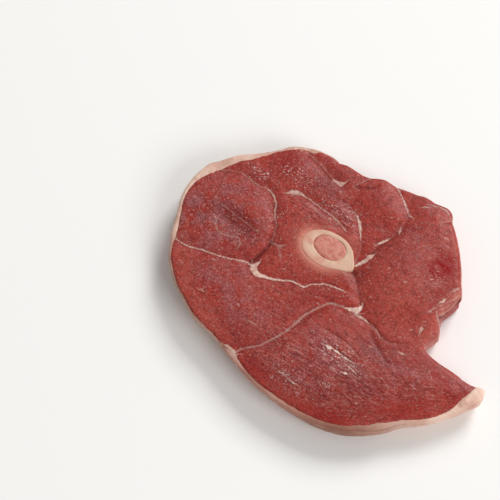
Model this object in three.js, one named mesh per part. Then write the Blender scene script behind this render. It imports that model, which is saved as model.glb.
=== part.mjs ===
// A raw lamb leg chop: one bone-in slice cut straight across the leg, lying flat on its lower cut face.
// Lean meat in several muscles surrounds the sawn thigh bone and its marrow, and a cover of fat follows
// the skin side of the slice. Where the leg meat parts, the slice ends in a tail with a notch above it.
//
// Millimetres, +Z up. X runs along the slice and the tail points to +X. The origin is on the resting
// face, at the middle of the slice's length and width.
import * as THREE from "three";

const CHOP_THICKNESS = 15; // height of the cut face beside the bone
const CLEARANCE = 0.3; // between one solid and the next
const STATION_STEP = 3.1; // along the slice's edge
const RIM_REACH = 13; // how far in from the edge the cut face is still rising

// The slice's edge at its widest, counterclockwise in runs that meet at corners. The keys of a run are
// [share of its length, value]: rim is the height of the cut face there, shoulder is how far the wall's
// top is rounded in, belly is the height of the widest line, foot is how far the wall tucks under, crease
// is the depth of a fold along the wall, and fat is how thick the fat cover is.
const SKIN_SIDE = {
  points: [
    [-34.1, 45.6], [-37.1, 45.8], [-40.8, 45.3], [-44.7, 44.3], [-48.1, 42.9], [-51, 41.2], [-55.2, 37.7],
    [-59.3, 31.9], [-65.1, 25.2], [-70.6, 19.9], [-72.9, 16.1], [-76.6, 10.4], [-77.7, 7.9], [-78.2, 3],
    [-78.3, -2], [-77.5, -7.9], [-75.1, -14.2], [-71.7, -20.1], [-68.6, -26.2], [-67, -28.8],
    [-63.6, -33.1], [-61, -36.3], [-56.3, -40], [-50.1, -43.9], [-42.9, -46.9], [-39.6, -48.7],
    [-35.8, -50], [-27.2, -51.3], [-20.8, -52.3], [-13.1, -54.2], [-5.1, -55.8], [2.4, -56.9],
    [11.3, -57.1], [21.1, -56.3], [31.5, -54.4], [41.5, -50.5], [48.8, -45.1], [54.7, -39.4],
    [59.4, -32.3], [66.7, -24.9], [72.4, -16.1], [76.6, -7.9], [78.3, -4.3], [77.9, -1.1], [76.6, 1.7],
  ],
  rim: [[0, 13], [0.3, 13], [0.5, 12.4], [0.85, 11.8], [1, 10.8]],
  shoulder: [[0, 1], [0.2, 1.3], [0.3, 1], [0.36, 0.8], [0.4, 0.4], [0.62, 0.4], [0.8, 0.8], [1, 0.9]],
  belly: [[0, 6.5], [0.3, 7], [0.4, 10], [0.6, 10], [0.7, 8.4], [0.78, 7], [0.88, 8], [1, 7]],
  foot: [
    [0, 1.6], [0.3, 1.8], [0.4, 4.6], [0.58, 4.8], [0.7, 3.8], [0.79, 1.9], [0.85, 2], [0.9, 3.2], [1, 2.2],
  ],
  fat: [
    [0, 1.1], [0.06, 1.2], [0.09, 1.6], [0.107, 1.3], [0.135, 1.7], [0.154, 2.4], [0.19, 3.4], [0.208, 4.1],
    [0.228, 3.9], [0.249, 2.9], [0.28, 2.1], [0.3, 1.9], [0.35, 2.2], [0.366, 1.3], [0.4, 1.2], [0.43, 1.1],
    [0.556, 1.1], [0.572, 1.9], [0.584, 1.5], [0.6, 1.1], [0.78, 1.2], [0.826, 1.5], [0.85, 1.1],
    [0.91, 1.1], [0.93, 1.3], [0.947, 2], [0.957, 2.9], [0.967, 3.5], [0.978, 4], [0.989, 3.7], [1, 2.4],
  ],
};
const TAIL_TOP = {
  points: [
    [76.6, 1.7], [72.7, 0.3], [69, -0.6], [64.6, -0.4], [60.1, -0.6], [55.3, -1.1], [49.8, -0.7],
    [46.4, 0.3],
  ],
  rim: [[0, 10.8], [0.5, 12], [1, 13]],
  shoulder: [[0, 0.9], [0.7, 1.2], [1, 1.6]],
  belly: [[0, 7], [1, 6]],
  foot: [[0, 1], [1, 1.2]],
};
const LOBE = {
  points: [[46.4, 0.3], [46.7, 3.6], [47.3, 6], [48.1, 7.8], [47.4, 9.9], [45.6, 12.9], [43.4, 15.7]],
  rim: [[0, 13], [1, 14]],
  shoulder: [[0, 1.8], [0.45, 6.4], [0.8, 5], [1, 3.4]],
  belly: [[0, 5.5], [0.4, 4], [1, 4.4]],
  foot: [[0, 1], [1, 1.2]],
};
const MUSCLE_SIDE = {
  points: [
    [43.4, 15.7], [43.7, 18.4], [44.4, 21.5], [45.1, 25], [45.4, 27.1], [44.8, 29.1], [41.8, 32.4],
    [36.8, 38.8], [31, 45.1], [25, 50.3], [19.7, 53.7],
  ],
  rim: [[0, 14], [0.4, 14], [1, 13.2]],
  shoulder: [[0, 3.4], [0.2, 3], [0.36, 2], [1, 1.4]],
  belly: [[0, 5], [0.3, 5.6], [1, 6.4]],
  foot: [[0, 1], [1, 1.6]],
  crease: [[0, 0.6], [0.1, 2], [0.28, 2], [0.4, 0], [1, 0]],
};
const FAR_SIDE = {
  points: [
    [19.7, 53.7], [19.2, 55.4], [17.3, 57], [15.4, 57.2], [12.7, 56.6], [9.8, 55.7], [6.5, 56],
    [4.2, 55.9], [1.6, 54.4], [-2.1, 53.5], [-6.2, 52.5], [-9.7, 51.4], [-13, 51.6], [-14.9, 51],
    [-20.1, 47.3], [-21.6, 46.8], [-25.8, 46.5], [-29.9, 46.3], [-34.1, 45.6],
  ],
  rim: [[0, 13], [1, 13]],
  shoulder: [[0, 1.6], [1, 1.3]],
  belly: [[0, 6.4], [1, 6.5]],
  foot: [[0, 1.6], [1, 1.6]],
};

// The wall between the cut faces, as angles from its widest line: the shoulder above, the foot below.
const WALL_ANGLES = [90, 58, 28, 0, -42, -90];

// The meat is laid out in rings round the bone: from the bone to an oval core, and from there to the edge.
const KERNEL = [9.2, -18.5]; // the whole edge can be seen from here
const CORE = { centre: [-10.8, -0.5], half: [43, 35] };
const TOP_RINGS = { inner: 10, outer: 8 };
const FOOT_RINGS = { inner: 3, outer: 2 };

// The sawn shaft of the thigh bone: an oval with one sharp ridge where the muscles are fixed to it.
const BONE = {
  centre: [-11.5, 7.7], half: [11.8, 8.3], turn: 9,
  ridgeAt: -4, ridgeHeight: 2.7, ridgeWidth: 16,
};
const BONE_SIDES = 52;
const BONE_EDGE = 0.35; // the saw leaves the bone's edges hardly rounded
const BONE_HEIGHT = CHOP_THICKNESS + 0.3; // the meat shrinks back from the cut and the bone doesn't
const MARROW = { centre: [-10.8, 9], half: [7.4, 4.9], turn: 5 };
const MARROW_SIDES = 30;
const MARROW_SINK = 0.5; // the soft marrow lies a little below the sawn bone
const MARROW_CROWN = 0.35;

// Each muscle swells out of the cut face by rise, and a negative rise is a hollow.
const MUSCLES = [
  { at: [-56.8, -7.5], half: [20, 18], turn: 20, rise: 0.7 }, // round muscle behind the bone
  { at: [-50.8, -7.5], half: [13, 7.5], turn: 4, rise: -1.6 }, // its hollow middle
  { at: [-28.8, -35.5], half: [27, 13], turn: -8, rise: 0.8 }, // broad outer muscle
  { at: [23.2, -31.5], half: [30, 19], turn: 12, rise: 1.2 }, // muscle that runs into the tail
  { at: [-29.8, 3.5], half: [8, 14], turn: 0, rise: 0.5 }, // muscle on the bone
  { at: [23.2, 16.5], half: [17, 20], turn: 30, rise: 0.9 }, // inner thigh muscle
  { at: [-4.8, 39.5], half: [15, 9], turn: 10, rise: 1 }, // small oval muscle
  { at: [-47.8, 30.5], half: [15, 9], turn: 25, rise: 0.7 }, // strap muscle at the far edge
  { at: [13.2, 48.5], half: [11, 8], turn: -40, rise: 0.6 }, // thin muscle at the far corner
];

// Seams of connective tissue between the muscles, cut through by the slice.
const SEAMS = [
  { depth: 0.6, width: 2.4, points: [[-66.5, -27.9], [-56.8, -27.9], [-44.3, -23.3], [-34.1, -17.7]] },
  {
    depth: 0.5, width: 2.6,
    points: [
      [-34.1, -17.7], [-30.4, -18.9], [-21.3, -18.1],
      [-11.3, -12.4], [-3.8, -6.4], [6.2, -2.4],
    ],
  },
  { depth: 1.2, width: 3.2, points: [[-32.5, -17], [-31.3, -10], [-31.4, -4.6]] },
  {
    depth: 0.8, width: 2.6,
    points: [
      [-70.7, 8.4], [-59.6, 12.6], [-48.9, 14.1],
      [-39.1, 6.7], [-31.4, -4.6],
    ],
  },
  { depth: 0.5, width: 2.4, points: [[-40.3, 17.6], [-35.6, 21.2], [-25.3, 21.4], [-11.6, 20]] },
  { depth: 0.7, width: 2.4, points: [[-47.3, 38.9], [-36.4, 37.2], [-26.8, 35.7]] },
  { depth: 0.7, width: 2.8, points: [[-17.7, 30.3], [-10.3, 27.2], [-3.5, 20.6], [1.6, 11.6], [3.2, 7.5]] },
  { depth: 0.9, width: 3, points: [[3.2, 7.5], [6.4, 4.8], [14.7, -2.4]] },
  { depth: 0.7, width: 2.6, points: [[2.9, 10.6], [3.4, 23.4], [7.2, 35.1], [4.5, 43.4], [-7.6, 50]] },
  {
    depth: 0.8, width: 2.8,
    points: [
      [-10.9, -49.8], [-3.9, -39], [-1, -29.6], [0, -21.7],
      [4.7, -10.5], [12.1, -7.8], [21.6, -7.1],
    ],
  },
];

const COLOURS = { meat: 0x914541, fat: 0xdcb7a3, bone: 0xd9b59e, marrow: 0xce8c7b };

/** The value at a share of a run's length, from [share, value] keys in rising order. */
function along(keys, share) {
  const next = keys.findIndex(([at]) => at >= share);
  if (next <= 0) return keys[Math.max(next, 0)][1];
  const [from, low] = keys[next - 1];
  const [to, high] = keys[next];
  return THREE.MathUtils.lerp(low, high, (share - from) / (to - from));
}

/** Evenly spaced stations along one run of the edge, each with its outward direction and wall sizes. */
function stationsOf(run) {
  const corners = run.points.map(([x, y]) => new THREE.Vector3(x, y, 0));
  const curve = new THREE.CatmullRomCurve3(corners, false, "centripetal");
  const count = Math.round(curve.getLength() / STATION_STEP);
  const stations = [];
  for (let i = 0; i <= count; i++) {
    const share = i / count;
    const at = curve.getPointAt(share);
    const ahead = curve.getTangentAt(share);
    stations.push({
      at: new THREE.Vector2(at.x, at.y),
      out: new THREE.Vector2(ahead.y, -ahead.x),
      rim: along(run.rim, share),
      shoulder: along(run.shoulder, share),
      belly: along(run.belly, share),
      foot: along(run.foot, share),
      crease: run.crease ? along(run.crease, share) : 0,
      fat: run.fat ? along(run.fat, share) : 0,
    });
  }
  return stations;
}

/**
 * Where a station's wall is at an angle from its widest line, with everything moved in by inset. The
 * shoulder is round and the foot tapers almost straight.
 */
function wallPoint(station, angle, top, inset = 0) {
  const turn = THREE.MathUtils.degToRad(Math.abs(angle));
  const fold = angle === 0 ? station.crease : 0;
  const taper = angle > 0 ? station.shoulder * (1 - Math.cos(turn)) : station.foot * Math.sin(turn) ** 1.2;
  const within = inset + fold + taper;
  const rise = angle > 0 ? top - station.belly : -station.belly;
  return new THREE.Vector3(
    station.at.x - station.out.x * within,
    station.at.y - station.out.y * within,
    station.belly + rise * Math.sin(turn),
  );
}

/** The distance from a point to the line through a list of points. */
function distanceToPath(x, y, points) {
  let best = Infinity;
  for (let i = 1; i < points.length; i++) {
    const [ax, ay] = points[i - 1];
    const [bx, by] = points[i];
    const lengthSquared = (bx - ax) ** 2 + (by - ay) ** 2;
    const share = ((x - ax) * (bx - ax) + (y - ay) * (by - ay)) / lengthSquared;
    const t = THREE.MathUtils.clamp(share, 0, 1);
    best = Math.min(best, Math.hypot(x - ax - t * (bx - ax), y - ay - t * (by - ay)));
  }
  return best;
}

/** How much of a muscle's swell is felt at a point: 1 at its middle, 0 outside it. */
function swellShare(x, y, muscle) {
  const turn = THREE.MathUtils.degToRad(muscle.turn);
  const dx = x - muscle.at[0];
  const dy = y - muscle.at[1];
  const u = (dx * Math.cos(turn) + dy * Math.sin(turn)) / muscle.half[0];
  const v = (dy * Math.cos(turn) - dx * Math.sin(turn)) / muscle.half[1];
  return Math.max(0, 1 - u * u - v * v) ** 1.5;
}

/** The height of the upper cut face: it rises from the rim, swells at each muscle and dips at the seams. */
function cutFace(x, y, edge) {
  let near = edge[0];
  let distance = Infinity;
  for (const station of edge) {
    const d = Math.hypot(x - station.at.x, y - station.at.y);
    if (d < distance) [near, distance] = [station, d];
  }
  const inland = 1 - Math.exp(-distance / RIM_REACH);
  let height = THREE.MathUtils.lerp(near.rim, CHOP_THICKNESS, inland);
  for (const muscle of MUSCLES) height += muscle.rise * swellShare(x, y, muscle);
  for (const seam of SEAMS) {
    height -= seam.depth * Math.exp(-((distanceToPath(x, y, seam.points) / seam.width) ** 2));
  }
  return height;
}

/** The distance from an oval's middle to its edge at an angle in radians. */
function ovalReach({ half, turn }, angle) {
  const from = angle - THREE.MathUtils.degToRad(turn);
  return (half[0] * half[1]) / Math.hypot(half[1] * Math.cos(from), half[0] * Math.sin(from));
}

/** The bone's outline at an angle in radians, moved out by grow. */
function boneOutline(angle, grow = 0) {
  const { centre, ridgeAt, ridgeHeight, ridgeWidth } = BONE;
  const offRidge = THREE.MathUtils.radToDeg(angle) - ridgeAt;
  const fromRidge = THREE.MathUtils.euclideanModulo(offRidge + 180, 360) - 180;
  const ridge = ridgeHeight * Math.exp(-((fromRidge / ridgeWidth) ** 2));
  const reach = ovalReach(BONE, angle) + ridge + grow;
  return new THREE.Vector2(centre[0] + reach * Math.cos(angle), centre[1] + reach * Math.sin(angle));
}

/** The marrow's outline at an angle in radians, moved out by grow. */
function marrowOutline(angle, grow = 0) {
  const [x, y] = MARROW.centre;
  const reach = ovalReach(MARROW, angle) + grow;
  return new THREE.Vector2(x + reach * Math.cos(angle), y + reach * Math.sin(angle));
}

/** Points round an outline at one height. */
function loopAt(outline, sides, height, grow) {
  const loop = [];
  for (let i = 0; i < sides; i++) {
    const at = outline((i / sides) * 2 * Math.PI, grow);
    loop.push(new THREE.Vector3(at.x, at.y, height));
  }
  return loop;
}

/** A geometry from points and triangles. */
function geometryOf(points, triangles) {
  const geometry = new THREE.BufferGeometry().setFromPoints(points);
  geometry.setIndex(triangles);
  geometry.computeVertexNormals();
  return geometry;
}

/** The triangles between loops of equal length, loop by loop. */
function skinBetween(loops, closed) {
  const size = loops[0].length;
  const bands = closed ? loops.length : loops.length - 1;
  const triangles = [];
  for (let i = 0; i < bands; i++) {
    const low = i * size;
    const high = ((i + 1) % loops.length) * size;
    for (let j = 0; j < size; j++) {
      const next = (j + 1) % size;
      triangles.push(low + j, low + next, high + next, low + j, high + next, high + j);
    }
  }
  return triangles;
}

/** A solid with a hole through it: the loops run up the outside, over the top and down the hole. */
function ringSolid(loops) {
  return geometryOf(loops.flat(), skinBetween(loops, true));
}

/** A solid without a hole: the loops run from one end to the other, and each end is closed. */
function barSolid(loops) {
  const size = loops[0].length;
  const points = loops.flat();
  const triangles = skinBetween(loops, false);
  const middleOf = (loop) =>
    loop.reduce((sum, p) => sum.add(p), new THREE.Vector3()).divideScalar(size);
  const start = points.push(middleOf(loops[0])) - 1;
  const end = points.push(middleOf(loops.at(-1))) - 1;
  const lastLoop = (loops.length - 1) * size;
  for (let j = 0; j < size; j++) {
    const next = (j + 1) % size;
    triangles.push(start, next, j, end, lastLoop + j, lastLoop + next);
  }
  return geometryOf(points, triangles);
}

/** Where the line from the kernel to a point crosses the core's oval. */
function coreTowards(point) {
  const [kx, ky] = KERNEL;
  const [cx, cy] = CORE.centre;
  const [a, b] = CORE.half;
  const dx = (point.x - kx) / a;
  const dy = (point.y - ky) / b;
  const fx = (kx - cx) / a;
  const fy = (ky - cy) / b;
  const squared = dx * dx + dy * dy;
  const half = fx * dx + fy * dy;
  const t = (-half + Math.sqrt(half * half - squared * (fx * fx + fy * fy - 1))) / squared;
  return new THREE.Vector2(kx + (point.x - kx) * t, ky + (point.y - ky) * t);
}

/** Points from the wall's edge in to the bone's hole, one line of them for each station. */
function linesInwards(edgePoints, rings) {
  return edgePoints.map((edgePoint) => {
    const from = new THREE.Vector2(edgePoint.x, edgePoint.y);
    const core = coreTowards(from);
    const angle = Math.atan2(core.y - BONE.centre[1], core.x - BONE.centre[0]);
    const hole = boneOutline(angle, CLEARANCE);
    const line = [];
    for (let i = 1; i <= rings.outer; i++) line.push(from.clone().lerp(core, i / rings.outer));
    for (let i = 1; i <= rings.inner; i++) line.push(core.clone().lerp(hole, i / rings.inner));
    return line;
  });
}

/** Turns a list of lines into a list of loops. */
function across(lines) {
  return lines[0].map((_, i) => lines.map((line) => line[i]));
}

/** The lean meat: two cut faces joined by the wall round the slice and by the hole for the bone. */
function leanMeat(edge, meatEdge) {
  const insetOf = (station) => (station.fat > 0 ? station.fat + CLEARANCE : 0);
  const walls = meatEdge.map((station) => {
    const inset = insetOf(station);
    const brink = wallPoint(station, 90, station.rim, inset);
    const top = cutFace(brink.x, brink.y, edge);
    return WALL_ANGLES.map((angle) => wallPoint(station, angle, top, inset));
  });
  const upper = linesInwards(walls.map((wall) => wall[0]), TOP_RINGS).map((line) =>
    line.map((p) => new THREE.Vector3(p.x, p.y, cutFace(p.x, p.y, edge))),
  );
  const lower = linesInwards(walls.map((wall) => wall.at(-1)), FOOT_RINGS).map((line) =>
    line.map((p) => new THREE.Vector3(p.x, p.y, 0)),
  );
  const loops = [...across(lower).reverse(), ...across(walls).reverse(), ...across(upper)];
  return ringSolid(loops);
}

/** The fat cover: a band along the skin side, as thick as each station says. */
function fatCover(edge, skin) {
  const sections = skin.map((station) => {
    const brink = wallPoint(station, 90, station.rim, station.fat);
    const top = cutFace(brink.x, brink.y, edge);
    const outside = WALL_ANGLES.map((angle) => wallPoint(station, angle, top));
    const inside = WALL_ANGLES.map((angle) => wallPoint(station, angle, top, station.fat));
    return [...outside, ...inside.reverse()];
  });
  return barSolid(sections);
}

/** The sawn bone: a short tube with hardly rounded edges. */
function sawnBone() {
  const levels = [BONE_EDGE, BONE_HEIGHT - BONE_EDGE];
  const outside = levels.map((z) => loopAt(boneOutline, BONE_SIDES, z, 0));
  const inside = levels.map((z) => loopAt(marrowOutline, BONE_SIDES, z, CLEARANCE));
  const faceLoops = (z) => [
    loopAt(boneOutline, BONE_SIDES, z, -BONE_EDGE),
    loopAt(marrowOutline, BONE_SIDES, z, CLEARANCE + BONE_EDGE),
  ];
  const [topOuter, topInner] = faceLoops(BONE_HEIGHT);
  const [footOuter, footInner] = faceLoops(0);
  return ringSolid([footOuter, ...outside, topOuter, topInner, ...inside.reverse(), footInner]);
}

/** The marrow: a soft plug that fills the bone and is slightly crowned. */
function marrowPlug() {
  const brim = BONE_HEIGHT - MARROW_SINK;
  const levels = [
    [0, 0],
    [brim - MARROW_CROWN, 0],
    [brim - MARROW_CROWN / 3, -1],
    [brim, -2.8],
  ];
  return barSolid(levels.map(([z, grow]) => loopAt(marrowOutline, MARROW_SIDES, z, grow)));
}

/** A named mesh of one piece. */
function piece(name, geometry, colour, roughness) {
  const material = new THREE.MeshStandardMaterial({ color: colour, roughness, metalness: 0 });
  const mesh = new THREE.Mesh(geometry, material);
  mesh.name = name;
  return mesh;
}

const skin = stationsOf(SKIN_SIDE);
const bare = [TAIL_TOP, LOBE, MUSCLE_SIDE, FAR_SIDE].flatMap((run) => stationsOf(run).slice(1));
const edge = [...skin, ...bare.slice(0, -1)];
const tip = skin.at(-1);
const past = tip.fat + CLEARANCE + tip.shoulder;
const meatEdge = edge.filter((station) => station.fat > 0 || station.at.distanceTo(tip.at) > past);

const chop = new THREE.Group();
chop.name = "lamb_leg_chop";
chop.add(piece("lean_meat", leanMeat(edge, meatEdge), COLOURS.meat, 0.4));
chop.add(piece("fat_cover", fatCover(edge, skin), COLOURS.fat, 0.5));
chop.add(piece("leg_bone", sawnBone(), COLOURS.bone, 0.6));
chop.add(piece("marrow", marrowPlug(), COLOURS.marrow, 0.5));

export default chop;
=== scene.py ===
"""Looks of a raw lamb leg chop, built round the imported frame.

The frame's four solids give the size and the place. Each is replaced by a finished piece: the lean meat
with its muscle seams, the cover of fat, the sawn thigh bone and the marrow. Small flecks of marbling are
scattered over the upper cut face. Tables of points are in millimetres, and everything else is in metres
unless its name ends in mm.
"""

import logging
import math
from abc import ABC, abstractmethod
from collections.abc import Iterable
from dataclasses import dataclass
from enum import Enum
from functools import partial

import bmesh
import bpy
import numpy as np
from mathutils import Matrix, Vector


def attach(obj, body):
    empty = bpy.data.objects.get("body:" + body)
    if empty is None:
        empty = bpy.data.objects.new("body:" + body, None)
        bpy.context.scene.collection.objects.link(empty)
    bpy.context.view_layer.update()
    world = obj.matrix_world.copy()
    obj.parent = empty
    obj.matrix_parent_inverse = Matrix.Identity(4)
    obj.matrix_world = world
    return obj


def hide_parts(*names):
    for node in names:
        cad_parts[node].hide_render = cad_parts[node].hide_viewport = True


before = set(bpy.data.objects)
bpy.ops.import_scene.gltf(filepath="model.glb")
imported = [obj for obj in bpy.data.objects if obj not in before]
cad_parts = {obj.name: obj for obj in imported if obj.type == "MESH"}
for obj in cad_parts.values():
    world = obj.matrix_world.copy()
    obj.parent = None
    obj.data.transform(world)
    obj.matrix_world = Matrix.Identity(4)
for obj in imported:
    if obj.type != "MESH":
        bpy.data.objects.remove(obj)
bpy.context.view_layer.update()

MM = 0.001
MERGE_DISTANCE = 1e-6
EDGE_POINTS = 12  # points along one edge of a triangle that trace a solid's outline
BODY = "root"
LOG = logging.getLogger("chop")


class Slot(Enum):
    """The record's material slots."""

    LEAN = "lean"
    FAT = "fat"
    BONE = "bone"
    MARROW = "marrow"


class Tone(Enum):
    """Ways in which a patch of lean differs from the rest, each kept as an attribute of its name."""

    # purplish tone of the muscle, lightened in places with painted sheen
    PURPLE_AND_SHEEN = "purple_and_sheen"
    BLOOD = "blood"
    PALE = "pale"
    DUSK = "dusk"
    # wet patches are glossier, in higher relief and richer in flecks, and carry painted glints
    WET = "wet"
    MEMBRANE = "membrane"
    ALONG = "along"
    SWEEP = "sweep"
    # browner fat, partly dried skin and partly painted shade low on its wall
    DRY_AND_SHADE = "dry_and_shade"


@dataclass(frozen=True)
class Seam:
    """A sheet of connective tissue between two muscles, cut across by the slice.

    Attributes:
        path: x, y and full width of the line, in millimetres.
        fat: 0 for clear silverskin and 1 for opaque fat; the higher it is, the more painted highlight lies
            on the line, in lumps and above 1 all over it, as on wet fat.
        show: how strongly the line stands out, from 0 to 1.
    """

    path: tuple[tuple[float, float, float], ...]
    fat: float = 0.6
    show: float = 1.0


@dataclass(frozen=True)
class Crease:
    """A parting between muscles, sunk and darkened with painted shade: x, y and half width of its path in
    millimetres, and its strength.
    """

    path: tuple[tuple[float, float, float], ...]
    strength: float = 1.0


@dataclass(frozen=True)
class Patch:
    """An oval patch on the cut face: its middle and half lengths in millimetres, and degrees turned."""

    x: float
    y: float
    half_x: float
    half_y: float
    turn: float = 0.0
    strength: float = 1.0


@dataclass(frozen=True)
class Grain:
    """A noise pattern and the band of it that shows.

    Attributes:
        size: millimetres across one spot.
        low: noise value at which the pattern starts to show.
        high: noise value at which it shows fully.
        strength: how much it shows there.
        detail: octaves of finer noise in it.
        stretch: how many times longer its spots are along each axis.
        turn: degrees that the first of those axes is turned from X.
    """

    size: float
    low: float
    high: float
    strength: float = 1.0
    detail: float = 2.0
    stretch: tuple[float, float, float] = (1.0, 1.0, 1.0)
    turn: float = 0.0


KERNEL_MM = (9.2, -18.5)  # the whole edge can be seen from here
SKIN_SIDE_DEG = (125.0, 376.0)  # directions from the kernel in which fat covers the edge
FAT_END_DEG = (123.0, 132.0)  # directions between which the fat runs out at the top right
TOP_FACE_MM = 9.0  # what is higher belongs to the upper cut face
BONE_MIDDLE_MM = (-11.5, 7.7)
MARROW_MIDDLE_MM = (-10.8, 9.0)
FLUSH_WAY = (-0.5, -0.87)  # the way in which the bone's edge gets redder
FLUSH_MIDDLE = 0.55
FLUSH_LEAST = 0.25
FLUSH_SPREAD_MM = 16.0
PATCH_FALL = 1.2  # over 1, a patch stays full further out and then fades faster
NO_SEAM_MM = 20.0  # stands for the distance of a seam where none is near
SEAM_MARKS = ("seam", "seam_half", "seam_near", "seam_fat", "seam_show")
LEAN_MARKS = (*SEAM_MARKS, "crease", "rim", "edge", "halo", *(tone.value for tone in Tone))
SOCKET_KINDS = {int: "NodeSocketInt", float: "NodeSocketFloat", tuple: "NodeSocketVector"}

# By direction from the kernel in degrees, and in millimetres: how far the lean covers the fat, or less than
# 0 where the fat covers the lean; how thick the fat shows; and how far its outer side is moved out.
RIM_COVER = np.array([
    (120, -0.3), (124, -0.4), (132, -0.4), (137, 0.0), (144, 0.25), (152, -0.1), (163, 0.1), (168, 0.9),
    (173, 1.4), (177, 1.5), (181, 1.2), (184, 0.8), (187, 0.7), (190, 1.2), (197, 1.9), (202, 2.8),
    (207, 2.9), (212, 2.4), (220, 2.3), (228, 1.9), (234, 0.6), (238, -0.1), (243, 0.0), (250, 0.5),
    (258, 0.9), (267, 0.4), (272, -0.1), (287, 0.4), (305, 0.1), (321, -0.5), (336, -0.4), (344, 0.1),
    (352, 0.6), (355, 0.7), (362, 0.35), (368, -0.1), (371, -0.3), (374, -0.1), (377, 0.3),
])
RIM_THICKNESS = np.array([
    (124, 0.7), (129, 1.6), (140, 2.1), (144, 1.7), (152, 3.2), (162, 5.0), (169, 3.6), (178, 2.5),
    (187, 2.7), (189, 1.5), (197, 1.0), (202, 0.4), (232, 0.4), (238, 1.8), (243, 1.4), (250, 0.5),
    (258, 0.1), (272, 1.2), (287, 0.8), (320, 1.1), (335, 1.8), (344, 1.1), (355, 0.5), (362, 1.3),
    (368, 3.3), (377, 5.5),
])
RIM_BULGE = np.array([
    (124, 0.2), (140, 0.0), (148, -0.3), (155, -0.7), (161, -0.5), (166, 0.0), (176, 0.2), (186, 0.3),
    (192, 0.6), (198, 1.0), (208, 1.0), (216, 0.7), (226, 0.4), (262, 0.4), (300, 0.55), (335, 0.5),
    (350, 0.4), (365, 0.2), (377, 0.0),
])

# How far the lean is moved out at the far corner, where no fat covers it, by direction in the same way.
FLAP_BULGE = np.array([(74, 0.0), (79, 0.3), (82, 0.8), (86, 0.8), (90, 0.3), (95, 0.0)])

# Where the lower strip of the step parts from the slab above it, sunk and darkened with painted shade: y,
# and the height of the parting there.
STEP_PARTING = np.array([(13.6, 12.0), (18.7, 6.3), (21.5, 6.2), (23.4, 7.6), (25.6, 9.8), (28.3, 10.4)])
STEP_BACK_MM = 41.6

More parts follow.
